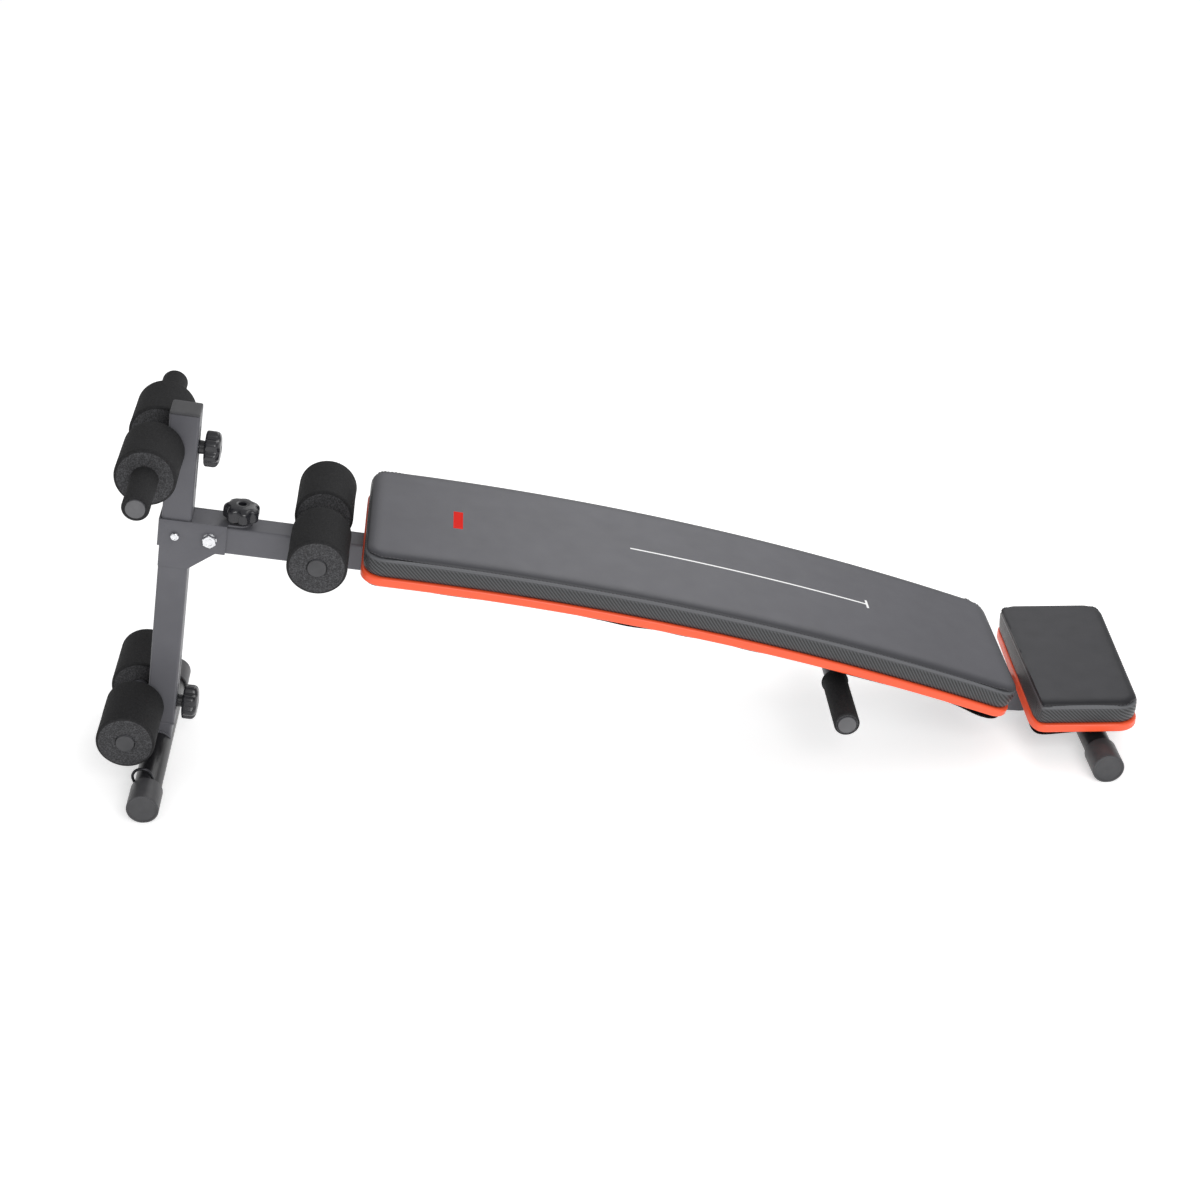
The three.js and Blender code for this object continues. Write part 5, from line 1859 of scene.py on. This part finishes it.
        uv = np.zeros((len(points), 2))
        uv[len(grid):] = np.stack([np.tile(run, len(profile)), -np.repeat(drop, count)], -1)
        uv[leather] = points[leather][:, :2] + [(self.start + self.end) / 2.0, 0.0]
        inside = np.minimum(self.half_length - np.abs(grid[:, 0]), self.half_width - np.abs(grid[:, 1])) - self.roll
        # painted shade that begins a cell inside the top's rim, ahead of the roll
        painted_rim_shade = 0.3 * np.clip(1.0 - inside / self.cell, 0.0, 1.0)
        marks = {
            "grid": np.arange(len(grid)), "above": loops[self.seam - 1], "seam": loops[self.seam],
            "below": loops[self.seam + 3], "pinned": loops[self.seam + 4:].ravel(), "out": out,
            "painted_seam_shading": np.concatenate([painted_rim_shade, np.repeat(shade_of_step, count)]),
        }
        return points, faces, uv, finish, marks

    def _puff(self, flat: Array, faces: list, marks: dict[str, Array]) -> Array:
        """Swells the top with a cloth simulation, then scales its rise to the pad's crown.

        Args:
            flat: the points lying flat.
            faces: their faces.
            marks: its named points.

        Returns:
            The swollen points.
        """
        shape = self._simulate(flat, faces, marks)
        lifted = flat.copy()
        lifted[:, 2] += shape / max(shape.max(), 1e-9) * self.crown
        return lifted

    def _simulate(self, flat: Array, faces: list, marks: dict[str, Array]) -> Array:
        """The rise of each point of the cover under a little pressure, with its side held.

        Args:
            flat: the points lying flat.
            faces: their faces.
            marks: its named points.

        Returns:
            Each point's rise.
        """
        mesh = bpy.data.meshes.new("trial")
        mesh.from_pydata(flat.tolist(), [], faces)
        cloth = bpy.data.objects.new("trial", mesh)
        bpy.context.scene.collection.objects.link(cloth)
        held = cloth.vertex_groups.new(name="held")
        held.add([int(k) for k in np.concatenate([marks["pinned"], marks["seam"]])], 1.0, "REPLACE")
        modifier = cloth.modifiers.new("swell", "CLOTH")
        settings = modifier.settings
        settings.quality = 6
        settings.mass = 0.3
        settings.tension_stiffness = 12.0
        settings.compression_stiffness = 12.0
        settings.shear_stiffness = 6.0
        settings.bending_stiffness = 0.6
        settings.use_pressure = True
        settings.uniform_pressure_force = 3.0
        settings.vertex_group_mass = "held"
        settings.effector_weights.gravity = 0.0
        modifier.collision_settings.use_collision = False
        scene = bpy.context.scene
        for frame_number in range(1, 17):
            scene.frame_set(frame_number)
        graph = bpy.context.evaluated_depsgraph_get()
        swollen = cloth.evaluated_get(graph)
        after = np.zeros(len(flat) * 3)
        swollen.data.vertices.foreach_get("co", after)
        rise = np.maximum(after.reshape(-1, 3)[:, 2] - flat[:, 2], 0.0)
        rise[marks["pinned"]] = 0.0
        scene.frame_set(1)
        bpy.data.objects.remove(cloth)
        return rise

    def _stitches(self, shop: Workshop, flat: Array, marks: dict[str, Array]) -> None:
        """Two rows of thread beside the seam, each stitch a small capsule that lies along it.

        Args:
            shop: the workshop.
            flat: the points lying flat.
            marks: its named points.
        """
        sides, rings, lift = 6, 5, 0.0002
        for row, rise in (("above", 1.2), ("below", 0.15)):
            loop = flat[marks[row]]
            closed = np.vstack([loop, loop[:1]])
            out = np.vstack([marks["out"], marks["out"][:1]])
            run = np.concatenate([[0.0], np.cumsum(np.linalg.norm(np.diff(closed, axis=0), axis=1))])
            count = int(run[-1] / self.thread_pitch)
            places = np.arange(count) * run[-1] / count
            share = np.linspace(-0.5, 0.5, rings)
            swell = np.array([0.35, 0.95, 1.0, 0.95, 0.35]) * self.thread_radius
            spots = places[:, None] + share[None, :] * self.thread_length
            wrap = spots % run[-1]
            line = np.stack([np.interp(wrap, run, closed[:, k]) for k in range(3)], -1)
            away = np.stack([np.interp(wrap, run, out[:, k]) for k in range(2)], -1)
            away = np.concatenate([away, np.full((*away.shape[:2], 1), rise)], -1)
            away /= np.linalg.norm(away, axis=-1)[..., None]
            ahead = np.gradient(line, axis=1)
            ahead /= np.linalg.norm(ahead, axis=-1)[..., None]
            across = np.cross(away, ahead)
            angle = np.arange(sides) / sides * TAU
            ring = (np.cos(angle)[None, None, :, None] * away[:, :, None]
                    + np.sin(angle)[None, None, :, None] * across[:, :, None])
            points = line[:, :, None] + away[:, :, None] * lift + ring * swell[None, :, None, None]
            first = (np.arange(count) * rings * sides)[:, None, None]
            skin = (grid_faces(rings, sides, False, True)[None] + first).reshape(-1, 4)
            caps = np.array([np.arange(sides)[::-1], np.arange(sides) + (rings - 1) * sides])
            faces = [*skin.tolist(), *(caps[None] + first).reshape(-1, sides).tolist()]
            shape = self._lay(points.reshape(-1, 3)), faces
            shop.make(f"{self.name}_stitches_{row}", shape, THREAD, Body.FRAME, "vinyl")

    def _ringed(self, profile: Array, closed: bool) -> tuple[Array, Array]:
        """Rounded rectangles drawn in by each inset of a profile, lying flat, with long sides divided.

        Args:
            profile: inset and height pairs.
            closed: whether the profile joins up with itself.

        Returns:
            The points and the faces.
        """
        inset = profile[:, 0]
        run = int(2 * self.half_length / 0.012)
        ring = rounded_box(self.half_length - inset, self.half_width - inset,
                           np.maximum(self.corner - inset, 1e-3), 8, run)
        height = np.broadcast_to(profile[:, 1][:, None, None], (*ring.shape[:2], 1))
        return np.concatenate([ring, height], -1), grid_faces(len(profile), ring.shape[1], closed, True)

    def _edge_strip(self, shop: Workshop) -> None:
        """The orange strip: a flat band with rounded edges, wrapped round the board and proud of it.

        Args:
            shop: the workshop.
        """
        low, high, proud = self.strip_low, self.base - CLEARANCE, self.strip_proud
        profile = filleted([
            [0.006, low], [0.0, low], [-proud, low + 0.002], [-proud, high - 0.002], [0.0, high], [0.006, high],
        ], [0.0005, 0.0014, 0.0014, 0.0014, 0.0014, 0.0005], 5, closed=True)
        flat, faces = self._ringed(profile, True)
        strip = weigh_normals(
            Piece(f"{self.name}_edge_strip", self._lay(flat), faces, finishes=[ORANGE_EDGE]).build())
        shop.set_down(strip, Body.FRAME, "vinyl")

    def _cloth(self, shop: Workshop) -> None:
        """The cloth tacked under the board: flat over the rail, sagging in waves near its edges.

        The sag is a slow wave along the edge, times a bump that is highest a little inside it,
        plus a deeper loop at each place where a tack is missing.

        Args:
            shop: the workshop.
        """
        plan, columns, rows = self._plan(0.0035)
        x, y = plan[..., 0], plan[..., 1]
        edge_x = (self.half_length - np.abs(x)) / 0.045
        edge_y = (self.half_width - np.abs(y)) / 0.035
        near_edge = np.minimum(np.clip(edge_x, 0, 1), np.clip(edge_y, 0, 1))
        bump = np.sin(math.pi * np.clip(near_edge * 1.35 + 0.12, 0, 1))
        wave = 0.5 + 0.5 * np.sin(x * 47.0 + 1.7 * np.sin(x * 13.0)) * np.cos(y * 21.0)
        sag = self.cloth_sag * bump * wave
        for at_x, at_y, depth in self.droops:
            away = np.hypot((x - at_x * self.half_length) / 0.030, (y - at_y * self.half_width) / 0.016)
            sag += depth * np.exp(-away ** 2)
        under = np.where(np.abs(y) < self.rail_half, self.board_low, self.board_low - 0.0002 - sag)
        low = np.stack([x, y, under], -1).reshape(-1, 3)
        high = low + [0, 0, self.cloth_thickness]
        rim = self._rim(columns, rows)
        top = grid_faces(columns, rows, False, False)
        wall = np.stack([rim, np.roll(rim, -1), np.roll(rim, -1) + len(low), rim + len(low)], -1)
        faces = np.concatenate([top[:, ::-1], top + len(low), wall])
        shape = self._lay(np.vstack([low, high])), faces
        cloth = shop.make(f"{self.name}_under_cloth", shape, BACK_CLOTH, Body.FRAME, "plywood",
                          f"{self.name}_board", sharp=math.radians(80))


# --------------------------------------------------------------------------- the whole bench
def make_pads(shop: Workshop, line: RailLine) -> None:
    """The long pad, with its printed bar and line, and the head pad, which is set a little askew.

    Args:
        shop: the workshop.
        line: the rail's line.
    """
    leather = PrintedLeather("main_pad_leather", "#56565B", 0.46, specular=0.35, prints=(
        ("#DE1F14", 0.3215, 0.3345, -0.0245, 0.0245),
        ("#FFFFFF", 0.5660, 0.9130, 0.0023, 0.0056),
        ("#FFFFFF", 0.9100, 0.9134, -0.0070, 0.0150),
    ))
    Pad("main_pad", LONG_PAD_START, line.arch_end - LONG_PAD_BEFORE_BEND, leather,
        droops=((0.93, -0.93, 0.007), (-0.2, -0.95, 0.003), (0.95, 0.9, 0.006))).build(shop, line)
    end = line.foot + HEAD_PAD_PAST_FOOT
    Pad("head_pad", end - HEAD_PAD_LENGTH, end, HEAD_LEATHER, skew=math.radians(3.0), half_width=0.139,
        droops=((-0.75, -0.93, 0.006), (0.7, 0.95, 0.004))).build(shop, line)


def main() -> None:
    """Loads the frame and builds the bench round it, piece by piece."""
    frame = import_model()
    Viewpoint().build()
    Studio().build()
    shop = Workshop(frame)
    fold = shop.joint("fold")
    up, _ = shop.stand_axes()
    line = RailLine(np.array(fold["pos_m"]), math.atan2(up[0], up[2]), float(shop.middle("rear_foot_tube")[0]))
    FrontPost().build(shop)
    MainRail().build(shop, line)
    RoundBars().build(shop)
    Hardware().build(shop, line)
    make_pads(shop, line)
    LOG.info("%d pieces made", shop.made)


if __name__ == "__main__":
    logging.basicConfig(level=logging.INFO, format="%(name)s %(message)s")
    main()
